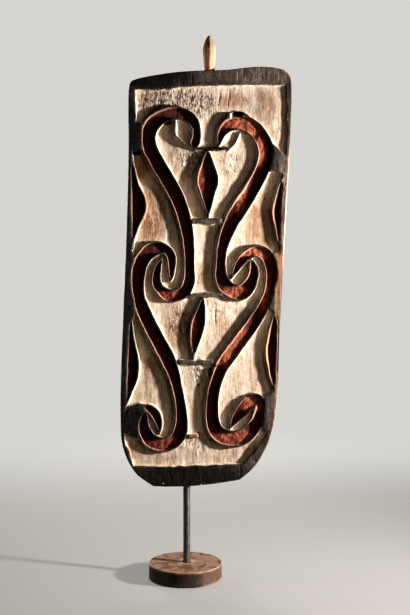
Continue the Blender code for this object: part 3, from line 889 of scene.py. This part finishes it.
class Finish:
    """A material, and the one way in which its nodes are made."""

    def __init__(self, name):
        self.material = bpy.data.materials.new(name)
        self.material.use_nodes = True
        self.tree = self.material.node_tree
        self.shader = self.tree.nodes["Principled BSDF"]
        self.place = self.node("TexCoord", output="Object")

    def node(self, kind, settings=None, sockets=None, output=0):
        made = self.tree.nodes.new("ShaderNode" + kind)
        for key, value in (settings or {}).items():
            setattr(made, key, value)
        for key, value in (sockets or {}).items():
            self.feed(made.inputs[key], value)
        return Signal(self, made.outputs[output])

    def feed(self, socket, value):
        if isinstance(value, Signal):
            self.tree.links.new(value.socket, socket)
        else:
            socket.default_value = value

    def set(self, **sockets):
        for key, value in sockets.items():
            self.feed(self.shader.inputs[key.replace("_", " ")], value)

    def attributes(self, *names):
        return (self.node("Attribute", {"attribute_name": name}, output="Fac") for name in names)

    def stretched(self, size):
        """Object coordinates in cells of the given size in millimetres."""
        scale = tuple(1 / (MM * s) for s in size)
        return self.node("VectorMath", {"operation": "MULTIPLY"}, {0: self.place, 1: scale})

    def noise(self, size, detail=3.0, roughness=0.55, distortion=0.0):
        sockets = {"Vector": self.stretched(size), "Scale": 1.0, "Detail": detail,
                   "Roughness": roughness, "Distortion": distortion}
        return self.node("TexNoise", None, sockets)

    def mix(self, share, first, second):
        """From the first to the second of two colours, each a signal or (red, green, blue)."""
        sockets = {0: share}
        for key, colour in ((6, first), (7, second)):
            sockets[key] = colour if isinstance(colour, Signal) else paint(*colour)
        return self.node("Mix", {"data_type": "RGBA", "clamp_factor": True}, sockets, output=2)

    def coats(self, base, *layers):
        """The base under one coat after another, each (share that it covers, colour)."""
        for share, colour in layers:
            base = self.mix(share, base, colour)
        return base

    def bump(self, height, depth_mm, strength=1.0, under=None):
        sockets = {"Height": height, "Distance": depth_mm * MM, "Strength": strength}
        if under is not None:
            sockets["Normal"] = under
        return self.node("Bump", None, sockets)


def paint(red, green, blue):
    """A colour given as screen values, as the shaders want it."""
    linear = [c / 255 / 12.92 if c <= 10 else ((c / 255 + 0.055) / 1.055) ** 2.4
              for c in (red, green, blue)]
    return (*linear, 1.0)


# --- Finishes --------------------------------------------------------------------------------
def painted_wood():
    """Bare carved wood under limewash, red ochre and black paint, with painted shade in the channels
    and hollows and painted light on the lit red.
    """
    f = Finish("painted_board")
    ground, channel, edge = f.attributes("into_ground", "into_channel", "into_board")
    front, bare, thin, soot_and_shade = f.attributes("carved_face", "bare", "thin_paint", "soot_and_shade")
    rubbed, tanned, chopped = f.attributes("rubbed", "tanned", "chopped")
    lit_red, fresh, gentle = f.attributes("lit_red", "fresh", "gentle_wall")

    fibre = f.noise((1.2, 1.2, 26), 4.0, 0.6, 0.5)
    streak = f.noise((5, 5, 46), 4.0, 0.55, 0.8)
    cloud = f.noise((30, 30, 52), 3.0, 0.5)
    blotch = f.noise((11, 11, 19), 4.0, 0.6, 0.5)
    ragged = (f.noise((2.6, 2.6, 5), 3.0) - 0.5) * 1.5 + (f.noise((9, 9, 15), 2.0) - 0.5) * 1.6
    crumb = f.noise((3.0, 3.0, 6.0), 4.0, 0.7)
    dash = f.noise((2.4, 2.4, 11), 3.0, 0.65, 0.8)
    facet = f.noise((6, 6, 9), 3.0, 0.5, 0.6)
    lines = f.noise((1.9, 1.9, 55), 2.0, 0.5, 0.3)
    flake = f.noise((2.6, 2.6, 8.5), 3.0, 0.6, 0.7)
    gouge = f.noise((4.2, 4.2, 17), 2.0, 0.5, 0.8)

    wood = f.coats(
        f.mix(streak.rise(0.36, 0.66), (128, 96, 74), (172, 138, 112)),
        (fibre.rise(0.5, 0.72) * 0.6, (88, 60, 44)),
    )
    aged = f.coats(
        f.mix(streak.rise(0.38, 0.68), (82, 60, 44), (122, 93, 69)),
        (fibre.rise(0.5, 0.72) * 0.7, (50, 37, 29)),
        (blotch.rise(0.5, 0.72) * 0.35, (142, 114, 88)),
    )

    tan = (cloud * 0.6 + tanned * 0.34 + blotch * 0.3).rise(0.5, 0.8) * 0.8
    stain = (tanned * 0.7 + blotch * 0.8 + streak * 0.4).rise(1.1, 1.6) * 0.7
    streaked = (streak + tanned * 0.1 + (crumb - 0.5) * 0.5).rise(0.58, 0.74) * 0.6
    thinned = (blotch * 0.8 + cloud * 0.4 + thin * 0.3 + (crumb - 0.5) * 0.7).rise(0.82, 1.0) * 0.8
    hacked = (chopped * 0.6 + blotch * 0.6).rise(0.62, 0.94) * 0.65
    pitted = (crumb + chopped * 0.04 + (cloud - 0.5) * 0.2).rise(0.625, 0.665)
    dashed = (dash + chopped * 0.13 + (blotch - 0.5) * 0.15).rise(0.64, 0.67)
    clean = (0.32 + chopped * 0.6 - tanned * 0.2).most(0)
    lime = f.coats(
        f.mix(blotch.rise(0.4, 0.62), (216, 204, 192), (203, 186, 166)),
        (tan, (168, 135, 109)),
        (stain, (140, 98, 68)),
        (streaked, (171, 136, 110)),
        ((fibre + (crumb - 0.5) * 0.5).rise(0.58, 0.72) * 0.5, (140, 112, 88)),
        (thinned, wood),
        (hacked, (134, 116, 99)),
        (pitted * (0.7 - chopped * 0.2), (100, 78, 60)),
        (lines.rise(0.56, 0.64) * 0.5, (158, 122, 94)),
        (lines.fall(0.36, 0.44) * 0.4, (232, 222, 208)),
        (dashed * 0.9, (62, 47, 37)),
        ((flake + chopped * 0.06).rise(0.55, 0.61) * clean, (226, 214, 200)),
        ((flake - chopped * 0.07).fall(0.33, 0.39) * (chopped * 0.85), (76, 54, 40)),
    )

    # Painted shade: the channels are darkened wherever they are not listed as lit, standing in for the
    # shade in them.
    painted_shade = (channel.rise(-0.6, 0.2) * 0.9 - lit_red + (facet - 0.5) * 0.8).rise(0.1, 0.7)
    ochre = f.coats(
        # Painted light: lighter red with pink highlights in the places listed as lit.
        f.mix((facet + (lit_red - 0.8) * 0.3).rise(0.4, 0.56), (107, 50, 37), (152, 90, 70)),
        ((facet * 0.5 + crumb * 0.5 + (lit_red - 1) * 0.12).rise(0.5, 0.6) * 0.55, (186, 130, 108)),
        (painted_shade * 0.75, (64, 25, 19)),
        ((crumb * 0.6 + blotch * 0.5).rise(0.6, 0.67) * 0.8, (58, 26, 20)),
        (dash.rise(0.6, 0.67) * 0.8, (60, 28, 22)),
    )

    greyed = (fibre * 0.6 + crumb * 0.5 + rubbed * 0.1).rise(0.56, 0.7) * 0.7
    scraped = (rubbed * 0.5 + (fibre - 0.5) * 2.2 + (streak - 0.5)).rise(0.45, 0.7) * 0.8
    black = f.coats(
        f.mix(blotch.rise(0.38, 0.66), (40, 37, 36), (74, 67, 63)),
        (rubbed.rise(0.1, 0.8) * 0.75, (104, 94, 90)),
        (greyed, (126, 112, 101)),
        ((crumb + (cloud - 0.5) * 0.5).rise(0.56, 0.68) * 0.7, (30, 27, 27)),
        (scraped, (168, 150, 134)),
        ((fibre - rubbed * 0.03).fall(0.36, 0.42) * rubbed, (40, 35, 33)),
        ((dash + rubbed * 0.05).rise(0.6, 0.65) * 0.8, (30, 26, 25)),
        # painted shade, partly black dirt, on the black paint
        (soot_and_shade.rise(0.1, 0.5) * (0.9 - (fibre - 0.5) * 1.2), (15, 13, 13)),
    )

    in_ground = (ground + ragged * 0.3).rise(-1.1, -0.3)
    in_channel = (channel + ragged * 0.25).rise(-0.9, -0.3)
    lip = channel + ragged * 0.3
    # Worn pale lips of the channels, carried further down the walls that face right: there it is a
    # painted highlight.
    lip_wear_and_highlight = lip.rise(-1.2, -0.4) * (lip - gentle * 3.4 - lit_red).fall(-0.4, 0.5)
    crest_edge = (ground + ragged * 0.5).rise(-2.4, -1.3)
    crest_edge = crest_edge.most((channel + ragged * 0.5).rise(-1.8, -0.8))
    crest_wear = crest_edge * (crumb + (cloud - 0.5)).rise(0.42, 0.62)
    board_edge = (edge + ragged * 0.8).fall(0.6, 2.6) * (cloud * 0.6 + crumb).rise(0.55, 0.8)
    face = f.coats(
        black,
        (crest_wear * (0.5 - soot_and_shade * 0.5), (156, 140, 126)),
        ((bare * 0.8 + (streak - 0.5) * 1.6 + (crumb - 0.5)).rise(0.35, 0.8) * 0.85, wood),
        (board_edge * (0.75 + rubbed * 0.25), f.mix(rubbed, (132, 118, 110), (190, 172, 156))),
        (edge.fall(0.8, 3.2) * (bare - rubbed).most(0) * 0.95, (46, 34, 28)),
        (in_channel, ochre),
        (lip_wear_and_highlight * (crumb * 0.6 + cloud * 0.4 + gentle * 0.1).rise(0.36, 0.52) * 0.75,
         (180, 144, 128)),
        (in_ground, lime),
        # painted shade, partly black dirt, over everything in these places
        ((soot_and_shade + (crumb - 0.5) * 0.8).rise(0.5, 0.8) * 0.95, (20, 18, 17)),
        ((fresh + (crumb - 0.5) * 0.5).rise(0.4, 0.7), (232, 216, 192)),
    )

    rough = 0.62 + in_ground * 0.12 + in_channel * 0.06 + (fibre - 0.5) * 0.25
    sunk = (dash + chopped * 0.08).fall(0.6, 0.67) + (crumb + chopped * 0.06).fall(0.58, 0.65)
    sunk = sunk * (0.6 + chopped * 0.5) + fibre * (0.5 + rubbed * 0.8) - lines * 0.6
    fine = f.bump(sunk + gouge.fall(0.44, 0.6) * chopped * 1.3, 0.8, 0.65)
    normal = f.bump(facet * (0.6 + in_channel * 2.6) + blotch * 0.6 + crumb * 0.5, 1.4, 0.5, under=fine)
    f.set(Base_Color=f.mix(front, aged, face), Roughness=rough, Normal=normal)
    f.shader.inputs["Specular IOR Level"].default_value = 0.3
    return f.material


def whittled_wood():
    """Pale wood under the knife, with a knot, and with painted shade on its left facets and at its
    foot.
    """
    f = Finish("bare_peg")
    fibre = f.noise((0.8, 0.8, 30), 4.0, 0.6, 0.3)
    streak = f.noise((3, 3, 60), 3.0, 0.5, 0.4)
    pore = f.noise((0.6, 0.6, 5), 3.0, 0.6)
    knot, painted_shade_foot, painted_shade_side = f.attributes("knot", "painted_shade_foot", "painted_shade_side")
    wood = f.coats(
        f.mix(streak.rise(0.38, 0.66), (190, 172, 150), (172, 150, 124)),
        (fibre.rise(0.5, 0.7) * 0.6, (150, 120, 88)),
        (pore.rise(0.62, 0.74) * 0.5, (142, 98, 60)),
        # Painted shade: browner on the left facets, which turn away from the key light.
        ((painted_shade_side + (streak - 0.5) * 0.6).rise(0.3, 0.8) * 0.9, (172, 120, 70)),
        ((knot + (fibre - 0.5) * 0.5).rise(0.3, 0.7), (112, 66, 38)),
        ((knot + (pore - 0.5) * 0.4).rise(0.95, 1.05) * 0.6, (168, 122, 98)),
        # Painted shade at the foot, where the board's top edge shades it.
        ((painted_shade_foot + (pore - 0.5) * 0.4).rise(0.4, 0.9), (62, 42, 30)),
    )
    normal = f.bump(fibre + pore * 0.5, 0.5, 0.5)
    f.set(Base_Color=wood, Roughness=0.55 + (fibre - 0.5) * 0.3, Normal=normal)
    return f.material


def dark_steel():
    """Dark drawn steel, a little scuffed."""
    f = Finish("dark_rod")
    drawn = f.noise((0.7, 0.7, 60), 3.0, 0.6)
    scale = f.noise((6, 6, 14), 4.0, 0.6)
    scuff = f.noise((1.6, 1.6, 16), 4.0, 0.7)
    steel = f.mix(scale.rise(0.4, 0.66), (112, 111, 110), (136, 134, 131))
    steel = f.mix(scuff.rise(0.6, 0.72) * 0.6, steel, (70, 60, 52))
    rough = 0.46 + (scale - 0.5) * 0.12 + scuff.rise(0.6, 0.74) * 0.16
    f.set(Base_Color=steel, Roughness=rough, Metallic=0.85 - scuff.rise(0.6, 0.74) * 0.5,
          Normal=f.bump(drawn + scale * 0.4, 0.08, 0.35))
    return f.material


def log_slice():
    """End grain above, barked side below with painted light on its right, and the pith off the middle.
    """
    f = Finish("foot_wood")
    top, rim, middle, pale_by_rod = f.attributes("sawn_face", "rim", "from_pith", "pale_by_rod")
    socket, right_share, painted_edge_highlight = f.attributes("socket", "painted_light_side", "painted_edge_highlight")
    fibre = f.noise((1.1, 1.1, 16), 4.0, 0.6, 0.3)
    mottle = f.noise((9, 9, 9), 4.0, 0.6)
    broad = f.noise((22, 22, 22), 2.0, 0.5, 0.6)
    speck = f.noise((2.6, 2.6, 2.6), 4.0, 0.65)
    wobble = (f.noise((26, 26, 60), 3.0, 0.5) - 0.5) * 9
    ring = f.node("Math", {"operation": "SINE"}, {0: (middle + wobble) * 1.6}) * 0.5 + 0.5
    sawn = f.coats(
        f.mix(mottle.rise(0.38, 0.62), (158, 127, 107), (182, 152, 131)),
        (broad.rise(0.48, 0.56) * 0.85, (132, 94, 68)),
        (ring * 0.36, (132, 98, 76)),
        ((broad * 0.5 + mottle * 0.7).rise(0.6, 0.7) * 0.7, (98, 68, 50)),
        ((mottle * 0.6 + speck * 0.6).rise(0.61, 0.72) * 0.4, (112, 84, 62)),
        # Paler patch beside the rod's foot.
        (pale_by_rod * (mottle + speck * 0.5).rise(0.45, 0.8) * 0.8, (208, 184, 160)),
        (socket.rise(0.2, 0.9) * 0.85, (34, 24, 20)),
    )
    painted_light_side = (right_share + (mottle - 0.5) * 1.2 + (broad - 0.5)).rise(0.3, 0.8)
    side = f.coats(
        f.mix(fibre.rise(0.4, 0.66), (46, 35, 28), (88, 66, 52)),
        (mottle.rise(0.46, 0.64) * 0.6, (32, 24, 20)),
        # Painted light: the side is paler towards the right, which faces the key light.
        (painted_light_side * 0.8, f.mix(fibre.rise(0.4, 0.62), (122, 94, 78), (82, 62, 51))),
        # Painted highlight along the lower edge on the right.
        ((painted_edge_highlight + (speck - 0.5)).rise(0.4, 0.9) * 0.6, (160, 138, 122)),
    )
    rubbed = (rim + (mottle - 0.5) * 1.6 + (speck - 0.5)).rise(0.5, 1.0) * 0.7
    colour = f.coats(side, (top, sawn), (rubbed, (182, 158, 140)))
    normal = f.bump(fibre * (1 - top) + ring * top * 0.35 + speck * 0.4, 0.6, 0.5)
    f.set(Base_Color=colour, Roughness=0.6 + (mottle - 0.5) * 0.3, Normal=normal)
    return f.material


# --- The peg, rod and disc -------------------------------------------------------------------
def circle(x, y, radius, count, depth_share=1):
    """Points round a circle, or round an oval that is only a share as deep in y."""
    angles = np.arange(count) * math.tau / count
    return np.column_stack((x + radius * np.cos(angles), y + radius * np.sin(angles) * depth_share))


def at_level(ring, z):
    return np.column_stack((ring, np.full(len(ring), z)))


def lathe(rings):
    """A skin through rings of the same size, closed at both ends."""
    skin = Skin()
    low = skin.add(rings[0])
    high = skin.tube(low, rings[1:])
    below, above = skin.add([rings[0].mean(axis=0), rings[-1].mean(axis=0)])
    skin.faces.append(np.column_stack((np.full(len(low), below), low, np.roll(low, -1))))
    skin.faces.append(np.column_stack((np.full(len(high), above), np.roll(high, -1), high)))
    return skin


def whittled_peg(material):
    """The pointed peg, cut with long knife facets."""
    low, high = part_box("top_peg")
    x, y = ((low[k] + high[k]) / 2 / MM for k in (0, 1))
    foot = high[2] / MM - PEG_PROFILE[-1][0]
    heights, halves = zip(*PEG_PROFILE)
    facets = np.arange(PEG_FACETS) * math.tau / PEG_FACETS - math.pi / PEG_FACETS + PEG_TURN
    angles = np.arange(PEG_SIDES) * math.tau / PEG_SIDES
    rings = []
    body, tip = np.linspace(low[2] / MM - foot, 66, 46), np.linspace(67, heights[-1] - 0.15, 14)
    for z in np.concatenate((body, tip)):
        half = np.interp(z, heights, halves)
        strokes = [0.45 * abs(math.sin(z / 17 + 2.4 * k)) + 0.25 * math.sin(z / 31 + 1.7 * k)
                   for k in range(PEG_FACETS)]
        reach = half - np.array(strokes) * min(1, half / 8)
        facing = np.maximum(np.cos(angles[:, None] - facets), 1e-3)
        radius = ((facing / np.maximum(reach, 0.05)) ** FACET_CRISPNESS).sum(axis=1)
        radius = radius ** (-1 / FACET_CRISPNESS)
        tuck = 2.4 * ease((5 - z) / 6) * np.clip(np.cos(angles), 0, 1)
        radius = radius - tuck * (z > -3)
        rings.append(at_level(circle(x, y, radius, PEG_SIDES, PEG_DEPTH_SHARE), foot + z))
    skin = lathe(rings)
    piece, verts = skin.piece("whittled_peg", MM, material), np.vstack(skin.verts)
    knot = np.linalg.norm((verts - (x - 1.5, y - 9, foot + 56)) / (2.8, 8, 8), axis=1)
    store(piece.data, "knot", ease(1.5 - knot))
    # Painted shade at the peg's foot and on its left facets.
    store(piece.data, "painted_shade_foot", ease((3 - (verts[:, 2] - foot)) / 4))
    store(piece.data, "painted_shade_side", ease((x + 1 - verts[:, 0]) / 4) * ease((verts[:, 0] - x + 12) / 4))
    return piece


def steel_rod(material):
    """The rod, with its ends eased and its side a little worn."""
    low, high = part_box("support_rod")
    x, y = ((low[k] + high[k]) / 2 / MM for k in (0, 1))
    radius = (high[0] - low[0]) / 2 / MM
    angles = np.arange(ROD_SIDES) * math.tau / ROD_SIDES
    rings = []
    for share in np.linspace(0, 1, 40):
        z = (low[2] + (high[2] - low[2]) * share) / MM
        shrink = 0.6 if share in (0, 1) else 0
        wear = 0.05 * np.abs(Grain(17)(angles * 4, np.full(ROD_SIDES, z), 1.5, 12))
        rings.append(at_level(circle(x, y, radius - shrink - wear, ROD_SIDES), z))
    return lathe(rings).piece("steel_rod", MM, material)


def log_disc(material):
    """The foot, a slice sawn from a log, with the rod's socket in it."""
    low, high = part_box("base_disc")
    rod_low, rod_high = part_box("support_rod")
    radius, height = (high[0] - low[0]) / 2 / MM, (high[2] - low[2]) / MM
    x, y = ((low[k] + high[k]) / 2 / MM for k in (0, 1))
    rod_x, rod_r = (rod_low[0] + rod_high[0]) / 2 / MM, (rod_high[0] - rod_low[0]) / 2 / MM + FIT_GAP
    around = np.arange(DISC_SIDES) * math.tau / DISC_SIDES
    shape = 1 - 0.006 * np.abs(Grain(19)(np.cos(around) * 3, np.sin(around) * 3, 1, 1))
    unit = circle(0, 0, 1, DISC_SIDES) * shape[:, None]

    def flat_sheet(step, hole):
        rows = [(unit * (radius - DISC_ROUND), True)]
        rows += [(circle(rod_x - x, 0, rod_r, SOCKET_SIDES), True)] if hole else []
        rows += [(unit * (radius - DISC_ROUND - inset), True) for inset in (1.2, 3)]
        lines = np.arange(-radius, radius, step)
        loose = np.array([(a + step / 2 * (k % 2), b) for k, b in enumerate(lines) for a in lines])
        loose = loose[np.linalg.norm(loose, axis=1) < radius - DISC_ROUND - 5]
        if hole:
            loose = loose[np.linalg.norm(loose - (rod_x - x, 0), axis=1) > rod_r + 1.5]
        return triangulated(rows, loose, holes=int(hole))

    skin = Skin()
    top, top_faces, (top_rim, hole_rim) = flat_sheet(2.6, True)
    under, under_faces, (under_rim,) = flat_sheet(6, False)
    away = np.hypot(top[:, 0] - PITH[0], top[:, 1] - PITH[1])
    rings = 0.10 * np.sin(away * 1.9 + 3 * Grain(20)(top[:, 0], top[:, 1], 24, 24))
    saw = 0.10 * np.sin(top[:, 0] * 0.9 + top[:, 1] * 0.35)
    saw = saw + 0.25 * Grain(21)(top[:, 0], top[:, 1], 18, 14)
    inset = ease((radius - np.linalg.norm(top, axis=1)) / 6)
    top_z = height - DISC_WEAR + (rings + saw - 0.2) * inset
    above = skin.add(np.column_stack((top + (x, y), top_z)), top_faces)
    below = skin.add(at_level(under + (x, y), 0), under_faces[:, ::-1])
    corner = [(math.sin(a), 1 - math.cos(a)) for a in np.linspace(0, math.pi / 2, 5)]
    levels = [(s - 1, height - DISC_WEAR - c * DISC_ROUND, 0) for s, c in corner[1:]]
    levels += [(0, height * share, 1) for share in DISC_SIDE_LEVELS]
    levels += [(s - 1, c * DISC_ROUND, 0) for s, c in corner[::-1][:-1]]
    sides = []
    for out, z, worn in levels:
        dents = worn * 0.45 * np.abs(Grain(22)(around * 12, np.full(DISC_SIDES, z), 1, 11))
        sides.append(at_level(unit * (radius + out * DISC_ROUND - dents)[:, None] + (x, y), z))
    skin.tube(above[top_rim], sides, below[under_rim])
    socket_z = rod_low[2] / MM - FIT_GAP
    floor = skin.tube(above[hole_rim], [at_level(circle(rod_x, y, rod_r, SOCKET_SIDES), socket_z)])
    middle = np.repeat(skin.add([(rod_x, y, socket_z)]), SOCKET_SIDES)
    skin.faces.append(np.column_stack((floor, np.roll(floor, -1), middle)))
    piece, verts = skin.piece("log_disc", MM, material), np.vstack(skin.verts)
    across = np.linalg.norm(verts[:, :2] - (x, y), axis=1)
    from_rod = np.linalg.norm(verts[:, :2] - (rod_x, y), axis=1)
    from_seat = np.linalg.norm(verts[:, :2] - (rod_x, y + 6), axis=1)
    store(piece.data, "sawn_face", ease((verts[:, 2] - height + 2.4) / 1.6))
    store(piece.data, "rim", ease(1 - np.hypot(across - radius + 0.8, verts[:, 2] - height + 0.8) / 3))
    store(piece.data, "socket", ease(1 - (from_rod - rod_r) / 3.5))
    store(piece.data, "pale_by_rod", ease(1.4 - from_seat / 20))
    store(piece.data, "from_pith", np.hypot(verts[:, 0] - x - PITH[0], verts[:, 1] - y - PITH[1]))
    # Painted light on the right of the side, and a painted highlight along its lower edge there.
    right = ease((verts[:, 0] - x - 8) / 44)
    store(piece.data, "painted_light_side", right)
    store(piece.data, "painted_edge_highlight", right * ease((3.4 - verts[:, 2]) / 2))
    return piece


for make, finish, node, slot in (
    (carved_board, painted_wood, "shield_board", "painted_board"),
    (whittled_peg, whittled_wood, "top_peg", "bare_peg"),
    (steel_rod, dark_steel, "support_rod", "dark_rod"),
    (log_disc, log_slice, "base_disc", "foot_wood"),
):
    piece = make(finish())
    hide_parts(node)
    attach(piece, "root")


# --- Floor, light and camera -----------------------------------------------------------------
def staged_sheet(name, points, material):
    mesh = bpy.data.meshes.new(name)
    mesh.from_pydata([tuple(v) for v in points], [], [tuple(range(len(points)))])
    mesh.materials.append(material)
    sheet = bpy.data.objects.new(name, mesh)
    bpy.context.scene.collection.objects.link(sheet)
    return sheet


def studio_floor():
    """A pale floor that runs out into the room's own colour."""
    f = Finish("studio_floor")
    reach = f.node("VectorMath", {"operation": "LENGTH"}, {0: f.place}, output="Value")
    room = f.node("BsdfTransparent")
    output = f.tree.nodes["Material Output"]
    f.set(Base_Color=paint(140, 139, 137), Emission_Color=FLOOR_GLOW, Emission_Strength=1.0)
    f.shader.inputs["Roughness"].default_value = 0.9
    lit = Signal(f, f.shader.outputs[0])
    blend = f.node("MixShader", None, {0: reach.rise(*FLOOR_FADE), 1: lit, 2: room})
    f.feed(output.inputs["Surface"], blend)
    staged_sheet("floor", at_level(circle(0, 0, FLOOR_RADIUS, FLOOR_SIDES), 0), f.material)


def black_card():
    """Matt black card before the stand, which keeps the floor's light out of the carving.

    The camera doesn't see it and it casts no shadow. It makes the shadows in the carving deeper.
    """
    f = Finish("black_card")
    f.set(Base_Color=paint(12, 12, 12))
    f.shader.inputs["Roughness"].default_value = 1.0
    left, right, near, far = CARD_BOX
    corners = ((left, far, CARD_Z), (right, far, CARD_Z), (right, near, CARD_Z), (left, near, CARD_Z))
    card = staged_sheet("black_card", corners, f.material)
    card.visible_camera = card.visible_shadow = False


def area_light(name, place, aim, size, watts, colour, spread=math.pi):
    """A round lamp that the camera doesn't see."""
    lamp = bpy.data.lights.new(name, "AREA")
    lamp.spread = spread
    lamp.shape, lamp.size, lamp.energy, lamp.color = "DISK", size, watts, colour
    light = bpy.data.objects.new(name, lamp)
    light.location = place
    light.rotation_mode = "QUATERNION"
    light.rotation_quaternion = (Vector(aim) - Vector(place)).to_track_quat("-Z", "Y")
    light.visible_camera = False
    bpy.context.scene.collection.objects.link(light)


def room_light():
    """Pale to look at, dim as a light."""
    world = bpy.data.worlds.new("room")
    world.use_nodes = True
    tree = world.node_tree
    seen = tree.nodes.new("ShaderNodeLightPath").outputs["Is Camera Ray"]
    blend = tree.nodes.new("ShaderNodeMixShader")
    dim = tree.nodes["Background"]
    bright = tree.nodes.new("ShaderNodeBackground")
    dim.inputs["Color"].default_value = ROOM_COLOUR
    dim.inputs["Strength"].default_value = ROOM_STRENGTH
    bright.inputs["Color"].default_value = ROOM_COLOUR
    tree.links.new(seen, blend.inputs[0])
    tree.links.new(dim.outputs[0], blend.inputs[1])
    tree.links.new(bright.outputs[0], blend.inputs[2])
    tree.links.new(blend.outputs[0], tree.nodes["World Output"].inputs["Surface"])
    bpy.context.scene.world = world


studio_floor()
black_card()
room_light()
area_light("key", (1.52, -0.5, 0.68), (0.03, 0, 0.66), 0.14, 18.2, (1.0, 0.95, 0.9), math.radians(96))
area_light("fill", (0.8, -0.95, 0.58), (0.12, 0, 0.6), 0.6, 2.5, (1.0, 0.83, 0.66))
area_light("back", (-1.1, 2.2, 0.8), (0.03, 0, 0.78), 1.2, 5, (1.0, 0.95, 0.88), math.radians(36))
area_light("edge", (-2.0, 0.2, 0.85), (0.03, 0, 0.7), 0.3, 1.9, (1.0, 0.93, 0.86), math.radians(40))
area_light("behind", (0.2, 2.9, 2.6), (0.1, 2.3, 0), 2.0, 30, (1.0, 0.98, 0.95), math.radians(70))

camera = bpy.data.objects.new("camera", bpy.data.cameras.new("camera"))
camera.data.lens, camera.data.sensor_width = LENS, SENSOR_WIDTH
camera.location = CAMERA_PLACE
camera.rotation_euler = (math.pi / 2, 0, 0)
bpy.context.scene.collection.objects.link(camera)
bpy.context.scene.camera = camera

bpy.context.scene.view_settings.view_transform = "Standard"
bpy.context.scene.view_settings.look = "High Contrast"
